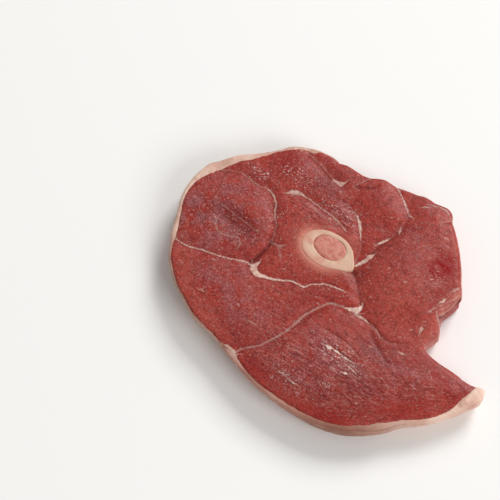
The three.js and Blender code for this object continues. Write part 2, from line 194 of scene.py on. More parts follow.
# The seams that show on the cut face, from the left to the far side.
SEAMS = (
    # between the round muscle and the broad outer muscle
    Seam(((-67.3, -27.1, 0.26), (-62.0, -28.5, 0.35), (-57.0, -27.9, 0.35), (-52.8, -26.2, 0.39),
          (-48.6, -24.7, 0.39), (-44.3, -23.3, 0.35), (-40.3, -21.5, 0.35), (-36.6, -19.4, 0.39),
          (-34.1, -17.7, 0.39), (-32.2, -18.1, 0.43)), 0.75),
    # the thick fat that it opens into, thinning towards the notch
    Seam(((-30.0, -15.3, 1.0), (-30.2, -18.1, 2.6), (-27.4, -19.7, 2.3), (-24.6, -19.1, 1.6),
          (-21.3, -17.8, 0.9), (-17.8, -15.7, 0.5), (-14.3, -13.4, 0.5), (-11.3, -12.4, 0.6),
          (-8.4, -12.0, 0.5), (-6.8, -9.5, 0.3), (-3.8, -6.4, 0.3), (-0.2, -4.3, 0.3),
          (6.3, -2.4, 0.3)), 0.9),
    # loose tissue by the deep cleft
    Seam(((-31.8, -4.5, 0.5), (-29.6, -4.1, 0.9), (-27.6, -3.8, 0.8), (-26.0, -2.1, 0.3)), 0.45, 0.55),
    Seam(((-28.0, -4.6, 0.9), (-26.0, -6.1, 1.3), (-23.8, -8.1, 0.6)), 0.35, 0.32),
    # the arc behind the round muscle, faint and then clear
    Seam(((-70.2, 8.7, 0.4), (-66.4, 11.4, 0.4), (-61.6, 12.9, 0.4), (-55.8, 12.8, 0.4),
          (-51.6, 13.1, 0.4), (-48.9, 14.1, 0.40)), 0.3, 0.55),
    Seam(((-48.9, 14.1, 0.34), (-46.3, 13.6, 0.51), (-44.0, 12.4, 0.56), (-41.8, 10.7, 0.51),
          (-40.4, 8.7, 0.45), (-39.1, 6.7, 0.51), (-37.6, 4.9, 0.39)), 0.6),
    Seam(((-37.6, 4.9, 0.48), (-35.8, 3.4, 0.32), (-33.8, 0.3, 0.32), (-32.0, -3.9, 0.40)), 0.3, 0.6),
    # the tadpole of fat above the bone
    Seam(((-41.0, 18.2, 1.0), (-39.6, 19.5, 2.1), (-38.0, 20.6, 1.7), (-36.4, 21.2, 1.0),
          (-34.6, 21.4, 0.5), (-32.0, 21.5, 0.3), (-25.3, 21.4, 0.3), (-18.7, 21.4, 0.3),
          (-11.6, 20.0, 0.3)), 0.55),
    # below the strap muscle, ending in a wedge of fat
    Seam(((-47.3, 38.9, 0.32), (-41.2, 38.3, 0.3), (-36.4, 37.2, 0.3), (-32.0, 36.1, 0.4)), 0.3, 0.45),
    Seam(((-30.4, 35.7, 0.5), (-28.8, 35.6, 1.3), (-26.9, 36.0, 2.0), (-25.9, 37.0, 1.0),
          (-25.6, 38.4, 0.2)), 0.75, 0.9),
    Seam(((-21.4, 39.7, 0.3), (-20.3, 42.5, 0.4), (-19.5, 45.0, 0.5), (-18.4, 47.1, 0.3)), 0.5, 0.4),
    # down the far side of the bone
    Seam(((-17.7, 30.3, 0.2), (-14.0, 29.1, 0.3), (-11.6, 28.0, 0.6)), 0.4, 0.45),
    Seam(((-11.4, 28.2, 0.4), (-9.9, 27.2, 1.0), (-8.2, 25.8, 1.2), (-6.8, 24.3, 0.9),
          (-5.0, 22.4, 0.7), (-3.5, 20.6, 0.2)), 0.85, 0.9),
    Seam(((-3.5, 20.6, 0.2), (-0.4, 16.0, 0.2), (1.6, 11.6, 0.2)), 0.3, 0.4),
    Seam(((2.4, 9.6, 0.5), (3.0, 11.1, 1.2), (3.8, 14.1, 1.4), (4.4, 16.9, 1.5), (4.9, 18.6, 0.4)), 0.9),
    Seam(((3.2, 23.6, 0.4), (3.9, 25.0, 1.1), (4.6, 26.8, 0.7), (5.4, 28.9, 0.2)), 0.85, 0.9),
    Seam(((7.5, 33.0, 0.2), (6.5, 34.7, 0.8), (5.9, 36.2, 0.4)), 0.5, 0.6),
    # between the oval muscle and the far corner
    Seam(((-7.0, 50.4, 0.3), (-4.1, 49.0, 0.3), (-1.3, 47.2, 0.35), (1.3, 45.6, 0.4),
          (3.2, 44.2, 0.3)), 0.9),
    Seam(((4.6, 43.4, 0.3), (5.6, 42.9, 0.9), (6.6, 42.9, 0.3)), 0.6, 0.6),
    # between the outer muscle and the tail muscle, rising from the rim
    Seam(((-13.0, -52.7, 1.22), (-11.8, -51.1, 0.8), (-10.9, -49.8, 0.58), (-9.2, -47.1, 0.5),
          (-7.1, -44.8, 0.5), (-5.3, -42.5, 0.58), (-3.9, -39.0, 0.72), (-2.2, -34.6, 0.8),
          (-1.0, -29.6, 1.08), (-0.5, -25.7, 1.22), (0.0, -21.7, 1.08), (1.2, -17.9, 0.87),
          (2.6, -14.4, 0.8), (4.7, -10.5, 0.72), (7.9, -9.0, 0.8), (10.6, -8.1, 0.9)), 0.22, 0.75),
    Seam(((10.0, -8.3, 0.3), (11.8, -7.6, 0.9), (13.4, -6.9, 1.5), (15.0, -5.9, 2.4),
          (15.7, -4.4, 1.9), (15.5, -3.2, 0.9)), 1.15),
    Seam(((15.8, -7.4, 0.8), (17.8, -7.3, 1.1), (20.2, -7.0, 0.7), (22.4, -7.0, 0.3)), 0.7, 0.8),
    # fat that runs in from the rim
    Seam(((-17.0, -51.4, 0.8), (-13.8, -52.2, 2.4), (-10.6, -53.4, 2.3), (-7.0, -54.7, 0.8)), 1.0),
    # threads in the muscles
    Seam(((-59.2, -4.5, 0.22), (-49.3, -4.3, 0.28), (-39.5, -4.7, 0.22)), 0.15, 0.65),
    Seam(((-56.0, -11.9, 0.4), (-55.0, -13.5, 0.6), (-52.5, -14.9, 0.6), (-49.2, -14.9, 0.6),
          (-45.4, -12.7, 0.5), (-43.9, -12.0, 0.6), (-41.7, -13.3, 0.5), (-40.9, -16.1, 0.4)), 0.2, 0.6),
    Seam(((40.3, 5.8, 0.3), (40.7, 4.9, 1.4), (41.0, 4.0, 0.8)), 0.9, 0.7),
    # wet streaks between the bundles of the lower muscles, drawn as painted highlights
    Seam(((15.6, -26.7, 0.3), (16.9, -26.5, 1.3), (18.1, -26.1, 0.5)), 1.5, 0.8),
    Seam(((19.6, -25.9, 0.3), (20.8, -25.9, 0.6), (21.8, -25.9, 0.2)), 1.4, 0.8),
    Seam(((22.6, -25.8, 0.1), (24.6, -25.8, 0.25), (26.8, -25.6, 0.3), (29.6, -25.3, 0.1)), 1.3, 0.7),
    Seam(((26.8, -28.0, 0.1), (29.4, -28.0, 0.25), (32.0, -28.2, 0.1)), 1.2, 0.7),
    Seam(((22.8, -32.7, 0.1), (24.6, -32.5, 0.3), (26.0, -33.0, 0.1)), 1.0, 0.6),
    Seam(((28.4, -31.3, 0.3), (29.3, -31.0, 0.9), (30.0, -30.8, 0.3)), 1.4, 0.8),
    Seam(((7.6, -47.5, 0.2), (9.2, -46.9, 0.6), (10.8, -46.9, 0.3)), 1.0, 0.6),
    Seam(((12.2, -47.4, 0.3), (13.8, -47.4, 0.7), (15.4, -47.2, 0.4), (17.4, -46.9, 0.2)), 1.0, 0.6),
    Seam(((-16.4, -38.3, 0.2), (-14.6, -38.0, 0.8), (-12.4, -37.6, 0.2)), 0.5, 0.5),
    Seam(((39.4, -9.3, 0.2), (40.8, -9.0, 0.8), (42.2, -8.6, 0.2)), 1.0, 0.7),
    Seam(((24.2, -6.8, 0.2), (27.6, -8.0, 0.4), (29.9, -9.2, 0.2)), 0.4, 0.5),
    Seam(((6.7, 49.3, 0.2), (8.1, 50.4, 0.6), (9.3, 51.3, 0.2)), 0.6, 0.6),
    # streaks of painted highlight in the clear skin over the step at the far side
    Seam(((39.5, 18.7, 0.2), (39.9, 20.0, 0.8), (40.4, 22.0, 0.3)), 1.0, 0.75),
    Seam(((38.5, 13.0, 0.2), (38.9, 14.2, 0.7), (39.4, 15.9, 0.2)), 0.8, 0.6),
    Seam(((40.3, 25.4, 0.3), (41.0, 27.6, 1.0), (41.6, 29.6, 0.4)), 0.5, 0.5),
    Seam(((40.8, 15.2, 0.3), (42.2, 13.8, 0.8), (44.3, 13.1, 0.8)), 0.35, 0.6),
    # the pale rim of the far corner, and the fold below it
    Seam(((8.8, 52.9, 0.2), (11.6, 54.0, 0.5), (14.8, 54.9, 0.6), (17.0, 54.7, 0.5),
          (19.0, 53.0, 0.2)), 0.5, 0.6),
    Seam(((17.6, 48.9, 0.2), (18.8, 50.3, 0.4), (19.8, 51.9, 0.3)), 0.5, 0.6),
)

# The partings, clefts and folds between the muscles, sunk and darkened with painted shade.
CREASES = (
    Crease(((-33.1, -17.3, 0.5), (-32.0, -13.4, 0.8), (-31.7, -10.0, 0.8), (-31.8, -6.6, 0.6),
            (-32.2, -4.4, 0.4)), 1.0),
    Crease(((1.8, 7.1, 0.7), (3.4, 7.3, 1.1), (5.2, 5.8, 0.6)), 0.9),
    Crease(((5.2, 5.8, 0.6), (10.7, 1.3, 0.6), (14.7, -2.4, 0.6)), 0.4),
    Crease(((-60.8, -6.7, 1.0), (-54.8, -7.9, 2.0), (-47.8, -7.9, 1.8), (-39.8, -8.3, 0.8)), 0.15),
    Crease(((3.8, 20.1, 0.5), (5.8, 29.3, 0.5), (7.2, 35.1, 0.6), (6.2, 39.8, 0.6), (4.8, 43.0, 0.5)), 0.45),
    Crease(((-46.3, 37.9, 0.5), (-38.8, 36.7, 0.6), (-32.2, 34.9, 0.6)), 0.5),
    Crease(((21.1, -6.4, 0.6), (28.5, -7.8, 0.7), (32.3, -8.6, 0.7), (35.9, -7.3, 0.6),
            (39.7, -4.1, 0.6)), 0.5),
    Crease(((-21.3, 38.8, 0.4), (-19.3, 39.9, 0.7), (-16.0, 42.3, 0.6), (-13.8, 46.1, 0.4)), 0.6),
    Crease(((18.4, 48.4, 0.4), (20.0, 50.2, 0.6), (21.2, 52.4, 0.5)), 0.5),
    Crease(((25.2, -9.5, 0.8), (32.2, -13.5, 1.2), (39.2, -16.0, 0.9)), 0.4),
    Crease(((13.2, -24.3, 0.4), (23.2, -25.5, 0.5), (32.2, -26.5, 0.4)), 0.5),
    Crease(((11.2, -21.0, 0.4), (21.2, -20.0, 0.5), (29.2, -22.0, 0.4)), 0.35),
    Crease(((1.2, -26.5, 0.6), (1.8, -20.5, 0.7), (4.6, -13.9, 0.6)), 0.35),
    Crease(((-13.8, -19.5, 0.4), (-4.8, -13.5, 0.5), (3.2, -8.5, 0.4)), 0.3),
)

# Where each tone lies.
PATCHES = {
    Tone.PURPLE_AND_SHEEN: (
        Patch(-57.8, -8.5, 20, 19), Patch(-30.8, -32.5, 26, 12, -10, 0.65),
        Patch(-42.8, 31.5, 14, 7, 10, 0.25), Patch(6.2, -42.5, 17, 9, 10, 0.55),
        Patch(21.2, -28.5, 18, 9, 0, 0.7), Patch(14.2, 36.5, 9, 8, 0, 0.4),
        Patch(46.2, -15.5, 12, 8, -10, 0.45), Patch(32.2, 20.5, 7, 5, 0, 0.5),
        Patch(-66.5, -18.0, 6, 12, 0, 2.0),
    ),
    Tone.DUSK: (
        Patch(-50.8, -7.5, 15, 6, 2, 0.75), Patch(-29.0, 33.0, 8, 6, 0, 0.7),
        Patch(-17.0, 25.0, 6, 4, 0, 0.3), Patch(36.0, -30.0, 13, 8, 10, 0.55),
        Patch(55.0, -18.0, 9, 6, 10, 0.35), Patch(33.2, -15.5, 10, 6, 0, 0.6),
        Patch(5.2, -48.5, 20, 4, 4, 0.4), Patch(34.2, -42.5, 18, 6, 20, 0.45),
        Patch(4.2, 6.5, 5, 4, 0, 0.7), Patch(6.2, 21.5, 5, 12, 0, 0.35),
    ),
    # paler tone of the muscle; the patch at 10, 2.5 is painted light that lifts the valley from the tip of
    # the bone out of its shade
    Tone.PALE: (
        Patch(23.2, 10.5, 11, 15, 10, 0.8), Patch(33.2, -1.5, 9, 6, 0, 0.8),
        Patch(23.2, 34.5, 10, 6, 100, 0.3), Patch(-27.5, 5.0, 4, 8, 0, 0.8),
        Patch(-12.0, -5.0, 15, 6, 10, 0.5), Patch(66.0, -14.0, 5, 5, 0, 0.5),
        Patch(26.5, 46.0, 7, 4, -40, 0.7), Patch(10.0, 2.5, 7, 3, -38, 0.9),
        Patch(-53.0, -35.5, 16, 4, -44, 1.2), Patch(-30.0, -47.5, 13, 4, -22, 1.1),
    ),
    Tone.BLOOD: (
        Patch(30.2, 32.3, 5.6, 4.0, 70, 2.2), Patch(-50.3, 30.0, 5.5, 4.5, 0, 0.65),
        Patch(50.2, -3.5, 9, 3.5, 0, 0.35), Patch(62.0, -8.5, 11, 3.5, -25, 0.4),
        Patch(57.2, -26.5, 12, 4, 50, 0.35), Patch(-0.8, -51.5, 9, 3, -8, 0.45),
        Patch(35.2, -49.5, 12, 3.5, 20, 0.45), Patch(2.2, 8.5, 3, 6, 20, 0.5),
    ),
    Tone.WET: (
        Patch(-56.8, 17.5, 8, 4.5), Patch(-42.8, 27.0, 10, 5), Patch(-37.5, 7.0, 3.5, 5, 0, 0.8),
        Patch(-17.8, 24.5, 9, 5), Patch(22.2, -26.5, 12, 5), Patch(12.7, -46.5, 10, 5, 0, 0.9),
        Patch(25.2, -39.1, 4, 3.5, 0, 0.8), Patch(31.6, 25.4, 5, 4, 0, 0.6),
    ),
    Tone.ALONG: (
        Patch(16.0, -33.0, 28, 15, 5), Patch(-20.0, 22.0, 18, 9, 10), Patch(-8.0, -20.0, 18, 8, 5, 0.6),
    ),
    Tone.SWEEP: (
        Patch(57.0, -18.0, 22, 14, 20), Patch(36.0, -40.0, 20, 12, 20, 0.7),
        Patch(24.0, 32.0, 14, 10, 30, 0.5),
    ),
    # dried skin and painted shade on the fat's wall
    Tone.DRY_AND_SHADE: (
        Patch(40.0, -50.0, 26, 14, 35), Patch(10.0, -58.0, 18, 10, 0, 0.35),
        Patch(-52.0, -42.0, 22, 14, -45, 0.6),
    ),
    Tone.MEMBRANE: (Patch(45.7, 6.5, 6.5, 9, 0, 0.5), Patch(43.4, 21.5, 3.6, 9, -7, 1.3)),
}


def linear(hex_colour: str) -> tuple[float, float, float, float]:
    """Turns an sRGB hex colour into linear light.

    Args:
        hex_colour: six hex digits, with or without a leading hash.

    Returns:
        Linear red, green and blue, and an alpha of 1.
    """
    digits = hex_colour.lstrip("#")
    channels = [int(digits[i : i + 2], 16) / 255 for i in (0, 2, 4)]
    light = [c / 12.92 if c <= 0.04045 else ((c + 0.055) / 1.055) ** 2.4 for c in channels]
    return (light[0], light[1], light[2], 1.0)


def add_node(
    tree: bpy.types.NodeTree, kind: str, inputs: dict | None = None, **settings: object
) -> bpy.types.Node:
    """Adds one node to a tree.

    Args:
        tree: the shader or geometry tree.
        kind: the node's type name.
        inputs: by name or number, a value for an input or the output socket that feeds it.
        **settings: properties of the node itself.

    Returns:
        The new node.
    """
    node = tree.nodes.new(kind)
    for name, value in settings.items():
        setattr(node, name, value)
    for key, value in (inputs or {}).items():
        socket = node.inputs[key]
        if isinstance(value, bpy.types.NodeSocket):
            tree.links.new(value, socket)
        else:
            socket.default_value = value
    return node


def smooth_path(rows: tuple[tuple[float, ...], ...], parts: int = 5) -> np.ndarray:
    """Runs a smooth line through rows of numbers.

    Args:
        rows: the rows that the line passes through.
        parts: how many steps there are between two rows.

    Returns:
        The line's rows, a Catmull-Rom spline through the given ones.
    """
    knots = np.array(rows, float)
    knots = np.vstack([2 * knots[0] - knots[1], knots, 2 * knots[-1] - knots[-2]])
    out = []
    for i in range(1, len(knots) - 2):
        a, b, c, d = knots[i - 1 : i + 3]
        for t in np.linspace(0, 1, parts, endpoint=False):
            out.append(0.5 * (2 * b + (c - a) * t + (2 * a - 5 * b + 4 * c - d) * t**2
                              + (3 * b - a - 3 * c + d) * t**3))
    out.append(knots[-2])
    return np.array(out)


def nearest_on_path(points: np.ndarray, path: np.ndarray) -> tuple[np.ndarray, np.ndarray, np.ndarray]:
    """Finds each point's nearest place on a path.

    Args:
        points: x and y of each point.
        path: rows of x, y and a width.

    Returns:
        The distance to the path, the side of it as -1 or 1, and the width there.
    """
    distance = np.full(len(points), np.inf)
    side = np.ones(len(points))
    width = np.ones(len(points))
    for start, end in zip(path[:-1], path[1:]):
        run = end[:2] - start[:2]
        offset = points - start[:2]
        share = np.clip(offset @ run / max(run @ run, 1e-9), 0, 1)
        apart = offset - share[:, None] * run
        d = np.hypot(apart[:, 0], apart[:, 1])
        nearer = d < distance
        distance[nearer] = d[nearer]
        turned = run[0] * offset[:, 1] - run[1] * offset[:, 0]
        side[nearer] = np.where(turned[nearer] < 0, -1, 1)
        width[nearer] = (start[2] + share * (end[2] - start[2]))[nearer]
    return distance, side, width


def directions(points: np.ndarray, centre: Iterable[float]) -> np.ndarray:
    """Directions of points from a centre, in degrees from 0 to 360."""
    x, y = (points[:, :2] - np.array(centre)).T
    return np.degrees(np.arctan2(y, x)) % 360


class Outline:
    """The edge of a solid seen from above, as a distance from a point inside it for each direction."""

    STEPS = 360
    EDGE_MM = 2.5  # what is less far in counts as the edge

    def __init__(self, points: np.ndarray, centre: tuple[float, float]) -> None:
        """Measures the edge of a cloud of points.

        Args:
            points: the solid's points in millimetres.
            centre: a point from which the whole edge can be seen.
        """
        self.centre = np.array(centre)
        bins = np.zeros(self.STEPS)
        np.maximum.at(bins, self.steps(points), np.hypot(*(points[:, :2] - self.centre).T))
        known = np.flatnonzero(bins)
        reach = np.interp(np.arange(self.STEPS), known, bins[known], period=self.STEPS)
        turn = np.radians((np.arange(self.STEPS) + 0.5) * 360 / self.STEPS)
        self.loop = self.centre + reach[:, None] * np.stack([np.cos(turn), np.sin(turn)], 1)

    def angles(self, points: np.ndarray) -> np.ndarray:
        """Directions of points from the centre, in degrees from 0 to 360."""
        return directions(points, self.centre)

    def steps(self, points: np.ndarray) -> np.ndarray:
        """The numbers of the steps round the edge that points lie in."""
        return (self.angles(points) * self.STEPS / 360).astype(int) % self.STEPS

    def outward(self, points: np.ndarray) -> tuple[np.ndarray, np.ndarray]:
        """Finds how far points are outside the edge.

        Args:
            points: the points in millimetres.

        Returns:
            The distances, less than 0 inside the edge, and the directions that lead outwards.
        """
        flat = points[:, :2]
        best = np.full(len(flat), np.inf)
        outwards = np.zeros_like(flat)
        beyond = np.zeros(len(flat))
        for start, end in zip(self.loop, np.roll(self.loop, -1, 0)):
            run = end - start
            offset = flat - start
            share = np.clip(offset @ run / (run @ run), 0, 1)
            distance = np.hypot(*(offset - share[:, None] * run).T)
            nearer = distance < best
            best[nearer] = distance[nearer]
            normal = np.array([run[1], -run[0]]) / np.hypot(*run)
            outwards[nearer] = normal
            beyond[nearer] = np.copysign(distance, offset @ normal)[nearer]
        return beyond, outwards

    def depth(self, points: np.ndarray) -> np.ndarray:
        """How far in from the edge points are, in millimetres."""
        return np.maximum(-self.outward(points)[0], 0)

    def tops(self, points: np.ndarray) -> np.ndarray:
        """Finds how high the edge is.

        Args:
            points: the points in millimetres.

        Returns:
            The height of the highest of those near the edge, in the direction of each point.
        """
        outer = points[self.outward(points)[0] > -self.EDGE_MM]
        high = np.zeros(self.STEPS)
        np.maximum.at(high, self.steps(outer), outer[:, 2])
        return high[self.steps(points)]


def node_points(node: str) -> np.ndarray:
    """Traces a solid of the frame.

    Args:
        node: the frame's node.

    Returns:
        Points close together along all the edges of its triangles, in millimetres.
    """
    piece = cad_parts[node]
    pairs = np.empty(len(piece.data.edges) * 2, np.int32)
    piece.data.edges.foreach_get("vertices", pairs)
    start, end = points_mm(piece)[pairs.reshape(-1, 2)].transpose(1, 0, 2)
    return (start + np.linspace(0, 1, EDGE_POINTS)[:, None, None] * (end - start)).reshape(-1, 3)


def skin_side(points: np.ndarray) -> np.ndarray:
    """Finds which points face the skin side from the kernel.

    Args:
        points: the points in millimetres.

    Returns:
        1 for each point that does and 0 for the others.
    """
    angle = directions(points, KERNEL_MM)
    start, end = SKIN_SIDE_DEG
    return ((angle > start) | (angle + 360 < end)).astype(float)


def patch_amount(points: np.ndarray, tone: Tone) -> np.ndarray:
    """How much of a tone the patches put on each point.

    Args:
        points: the points in millimetres.
        tone: the tone.

    Returns:
        One number from 0 to 1 for each point.
    """
    amount = np.zeros(len(points))
    for patch in PATCHES[tone]:
        turn = math.radians(patch.turn)
        x, y = points[:, 0] - patch.x, points[:, 1] - patch.y
        u = (x * math.cos(turn) + y * math.sin(turn)) / patch.half_x
        v = (y * math.cos(turn) - x * math.sin(turn)) / patch.half_y
        amount = np.maximum(amount, patch.strength * np.exp(-((u * u + v * v) ** PATCH_FALL)))
    return np.minimum(amount, 1)


def bone_flush(points: np.ndarray) -> np.ndarray:
    """How flushed the bone's edge is towards each point, up to 1: most at the lower left."""
    towards = (points[:, :2] - np.array(BONE_MIDDLE_MM)) @ np.array(FLUSH_WAY)
    return np.clip(FLUSH_MIDDLE + towards / FLUSH_SPREAD_MM, FLUSH_LEAST, 1)


def solid_copy(node: str, name: str) -> bpy.types.Object:
    """Copies a node of the frame into a new object, with its loose triangles joined up.

    Args:
        node: the frame's node.
        name: the new object's name.

    Returns:
        The new object, linked to the scene.
    """
    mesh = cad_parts[node].data.copy()
    mesh.materials.clear()
    joined = bmesh.new()
    joined.from_mesh(mesh)
    bmesh.ops.remove_doubles(joined, verts=joined.verts, dist=MERGE_DISTANCE)
    joined.to_mesh(mesh)
    joined.free()
    piece = bpy.data.objects.new(name, mesh)
    bpy.context.scene.collection.objects.link(piece)
    return piece


def bake_modifiers(piece: bpy.types.Object) -> None:
    """Turns an object's modifiers into plain mesh and removes them.

    Args:
        piece: the object.
    """
    depsgraph = bpy.context.evaluated_depsgraph_get()
    mesh = bpy.data.meshes.new_from_object(
        piece.evaluated_get(depsgraph), preserve_all_data_layers=True, depsgraph=depsgraph
    )
    mesh.name = piece.name
    piece.modifiers.clear()
    piece.data = mesh


def even_skin(piece: bpy.types.Object, voxel_mm: float) -> None:
    """Gives a closed mesh an even skin of small faces.

    Args:
        piece: the object whose mesh is closed.
        voxel_mm: the length of one new face.
    """
    remesh = piece.modifiers.new("Even skin", "REMESH")
    remesh.mode = "VOXEL"
    remesh.voxel_size = voxel_mm * MM
    remesh.use_smooth_shade = True
    bake_modifiers(piece)


def points_mm(piece: bpy.types.Object) -> np.ndarray:
    """Reads a mesh's points.

    Args:
        piece: the object that the mesh is in.

    Returns:
        Their places in millimetres.
    """
    flat = np.empty(len(piece.data.vertices) * 3, np.float32)
    piece.data.vertices.foreach_get("co", flat)
    return flat.reshape(-1, 3).astype(float) / MM


def move_points(piece: bpy.types.Object, points: np.ndarray) -> None:
    """Puts a mesh's points at new places, given in millimetres."""
    piece.data.vertices.foreach_set("co", (points * MM).astype(np.float32).ravel())
    piece.data.update()


def set_attribute(piece: bpy.types.Object, name: str, values: np.ndarray) -> None:
    """Stores one number for each point of a mesh under a name."""
    layer = piece.data.attributes.new(name, "FLOAT", "POINT")
    layer.data.foreach_set("value", values.astype(np.float32))


def run_tree(piece: bpy.types.Object, tree: bpy.types.NodeTree, sizes: dict[str, object]) -> None:
    """Runs a geometry tree on an object and keeps the result as its mesh.

    Args:
        piece: the object.
        tree: the geometry tree.
        sizes: a value for each named input of the tree.
    """
    modifier = piece.modifiers.new(tree.name, "NODES")
    modifier.node_group = tree
    sockets = {s.name: s.identifier for s in tree.interface.items_tree if s.in_out == "INPUT"}
    for name, value in sizes.items():
        modifier[sockets[name]] = value
    bake_modifiers(piece)


def finish_piece(piece: bpy.types.Object, slot: Slot, *nodes: str) -> None:
    """Makes a finished piece ride on the part and hides the frame's nodes that it stands for.

    Args:
        piece: the object, with its modifiers already plain mesh.
        slot: not used.
        *nodes: the frame's nodes that it stands for.
    """
    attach(piece, BODY)
    if nodes:
        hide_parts(*nodes)


def new_geometry_tree(name: str, sizes: dict[str, object]) -> tuple[bpy.types.NodeTree, bpy.types.Node]:
    """Starts a geometry tree with a named input for each of its sizes.

    Args:
        name: the tree's name.
        sizes: by name, a whole number, a number or a tuple for a vector.

    Returns:
        The tree and its input node.
    """
    tree = bpy.data.node_groups.new(name, "GeometryNodeTree")
    tree.interface.new_socket("Geometry", in_out="INPUT", socket_type="NodeSocketGeometry")
    for label, value in sizes.items():
        tree.interface.new_socket(label, in_out="INPUT", socket_type=SOCKET_KINDS[type(value)])
    tree.interface.new_socket("Geometry", in_out="OUTPUT", socket_type="NodeSocketGeometry")
    return tree, tree.nodes.new("NodeGroupInput")


def end_geometry_tree(
    tree: bpy.types.NodeTree, geometry: bpy.types.NodeSocket, material: bpy.types.Material
) -> None:
    """Ends a geometry tree in real faces with a material.

    Args:
        tree: the geometry tree.
        geometry: the socket with the finished shape.
        material: the material for it.
    """
    real = add_node(tree, "GeometryNodeRealizeInstances", {"Geometry": geometry})
    dressed = add_node(tree, "GeometryNodeSetMaterial", {
        "Geometry": real.outputs[0], "Material": material,
    })
    add_node(tree, "NodeGroupOutput", {0: dressed.outputs[0]})


class Shading:
    """A material in the making: its tree, the mesh's marks that it reads and the masks of its grains."""

    APART = (7.3, 3.1, 1.7)  # how far each grain's noise is shifted from the one before, in spots

    def __init__(self, name: str, marks: tuple[str, ...], grains: dict[str, Grain]) -> None:
        """Starts a material.

        Args:
            name: the material's name.
            marks: the attributes of the mesh that it reads.
            grains: its noise patterns by name.
        """
        self.material = bpy.data.materials.new(name)
        self.material.use_nodes = True
        self.material.node_tree.nodes.clear()
        self.add = partial(add_node, self.material.node_tree)
        self.place = self.add("ShaderNodeTexCoord").outputs["Object"]
        self.marks = {
            mark: self.add("ShaderNodeAttribute", attribute_name=mark).outputs["Fac"] for mark in marks
        }
        self.masks = {name: self.mask(number, grain) for number, (name, grain) in enumerate(grains.items())}

    def mask(self, number: int, grain: Grain) -> bpy.types.NodeSocket:
        """Adds the mask of one grain.

        Args:
            number: the grain's number in the material.
            grain: the grain.

        Returns:
            The mask's socket.
        """
        across = 1 / (grain.size * MM)
        turned = self.add("ShaderNodeMapping", {
            "Vector": self.place,
            "Location": tuple(number * shift for shift in self.APART),
            "Rotation": (0, 0, math.radians(-grain.turn)),
            "Scale": (across, across, across),
        }, vector_type="POINT")
        shrink = tuple(1 / length for length in grain.stretch)
        drawn = self.add("ShaderNodeVectorMath", {0: turned.outputs[0], 1: shrink}, operation="MULTIPLY")
        noise = self.add("ShaderNodeTexNoise", {
            "Vector": drawn.outputs[0], "Scale": 1.0, "Detail": grain.detail,
        })
        band = self.add("ShaderNodeMapRange", {
            "Value": noise.outputs["Fac"], 1: grain.low, 2: grain.high, 3: 0.0, 4: grain.strength,
        }, interpolation_type="SMOOTHSTEP")
        return band.outputs[0]

    def lay(self, ground: str, *coats: tuple[object, ...]) -> bpy.types.NodeSocket:
        """Lays colours over each other.

        Args:
            ground: the colour underneath, in hex.
            *coats: from the lowest up, a colour in hex, and the sockets and numbers whose product says where
                it lies.

        Returns:
            The resulting colour.
        """
        shade = linear(ground)
        for colour, cover, *factors in coats:
            for factor in factors:
                cover = self.add("ShaderNodeMath", {0: cover, 1: factor}, operation="MULTIPLY").outputs[0]
            coat = self.add("ShaderNodeMix", {0: cover, 6: shade, 7: linear(colour)}, data_type="RGBA")
            shade = coat.outputs[2]
        return shade

    def close(
        self, colour: bpy.types.NodeSocket, grain_mm: float, relief_mm: object, **looks: object
    ) -> bpy.types.Material:
        """Ends the tree in a moist surface with a fine grain.

        Args:
            colour: the surface's colour.
            grain_mm: the size of the grain.
            relief_mm: the height of the grain, as a number or a socket.
            **looks: the shader's inputs, with underscores for the spaces in their names.

        Returns:
            The finished material.
        """
        fine = self.add("ShaderNodeTexNoise", {
            "Vector": self.place, "Scale": 1 / (grain_mm * MM), "Detail": 3.0, "Roughness": 0.6,
        })
        height = fine.outputs["Fac"]
        for factor in (relief_mm, MM):
            height = self.add("ShaderNodeMath", {0: height, 1: factor}, operation="MULTIPLY").outputs[0]
        bump = self.add("ShaderNodeBump", {"Height": height, "Strength": 1.0, "Distance": 1.0})
        named = {key.replace("_", " "): value for key, value in looks.items()}
        shader = self.add("ShaderNodeBsdfPrincipled", {
            "Base Color": colour, "Normal": bump.outputs[0], **named,
        })
        self.add("ShaderNodeOutputMaterial", {"Surface": shader.outputs[0]})
        return self.material


class Finish(ABC):
    """What the pieces need of a finish."""

    @abstractmethod
    def material(self) -> bpy.types.Material:
        """Builds the material.

        Returns:
            The finished material.
        """


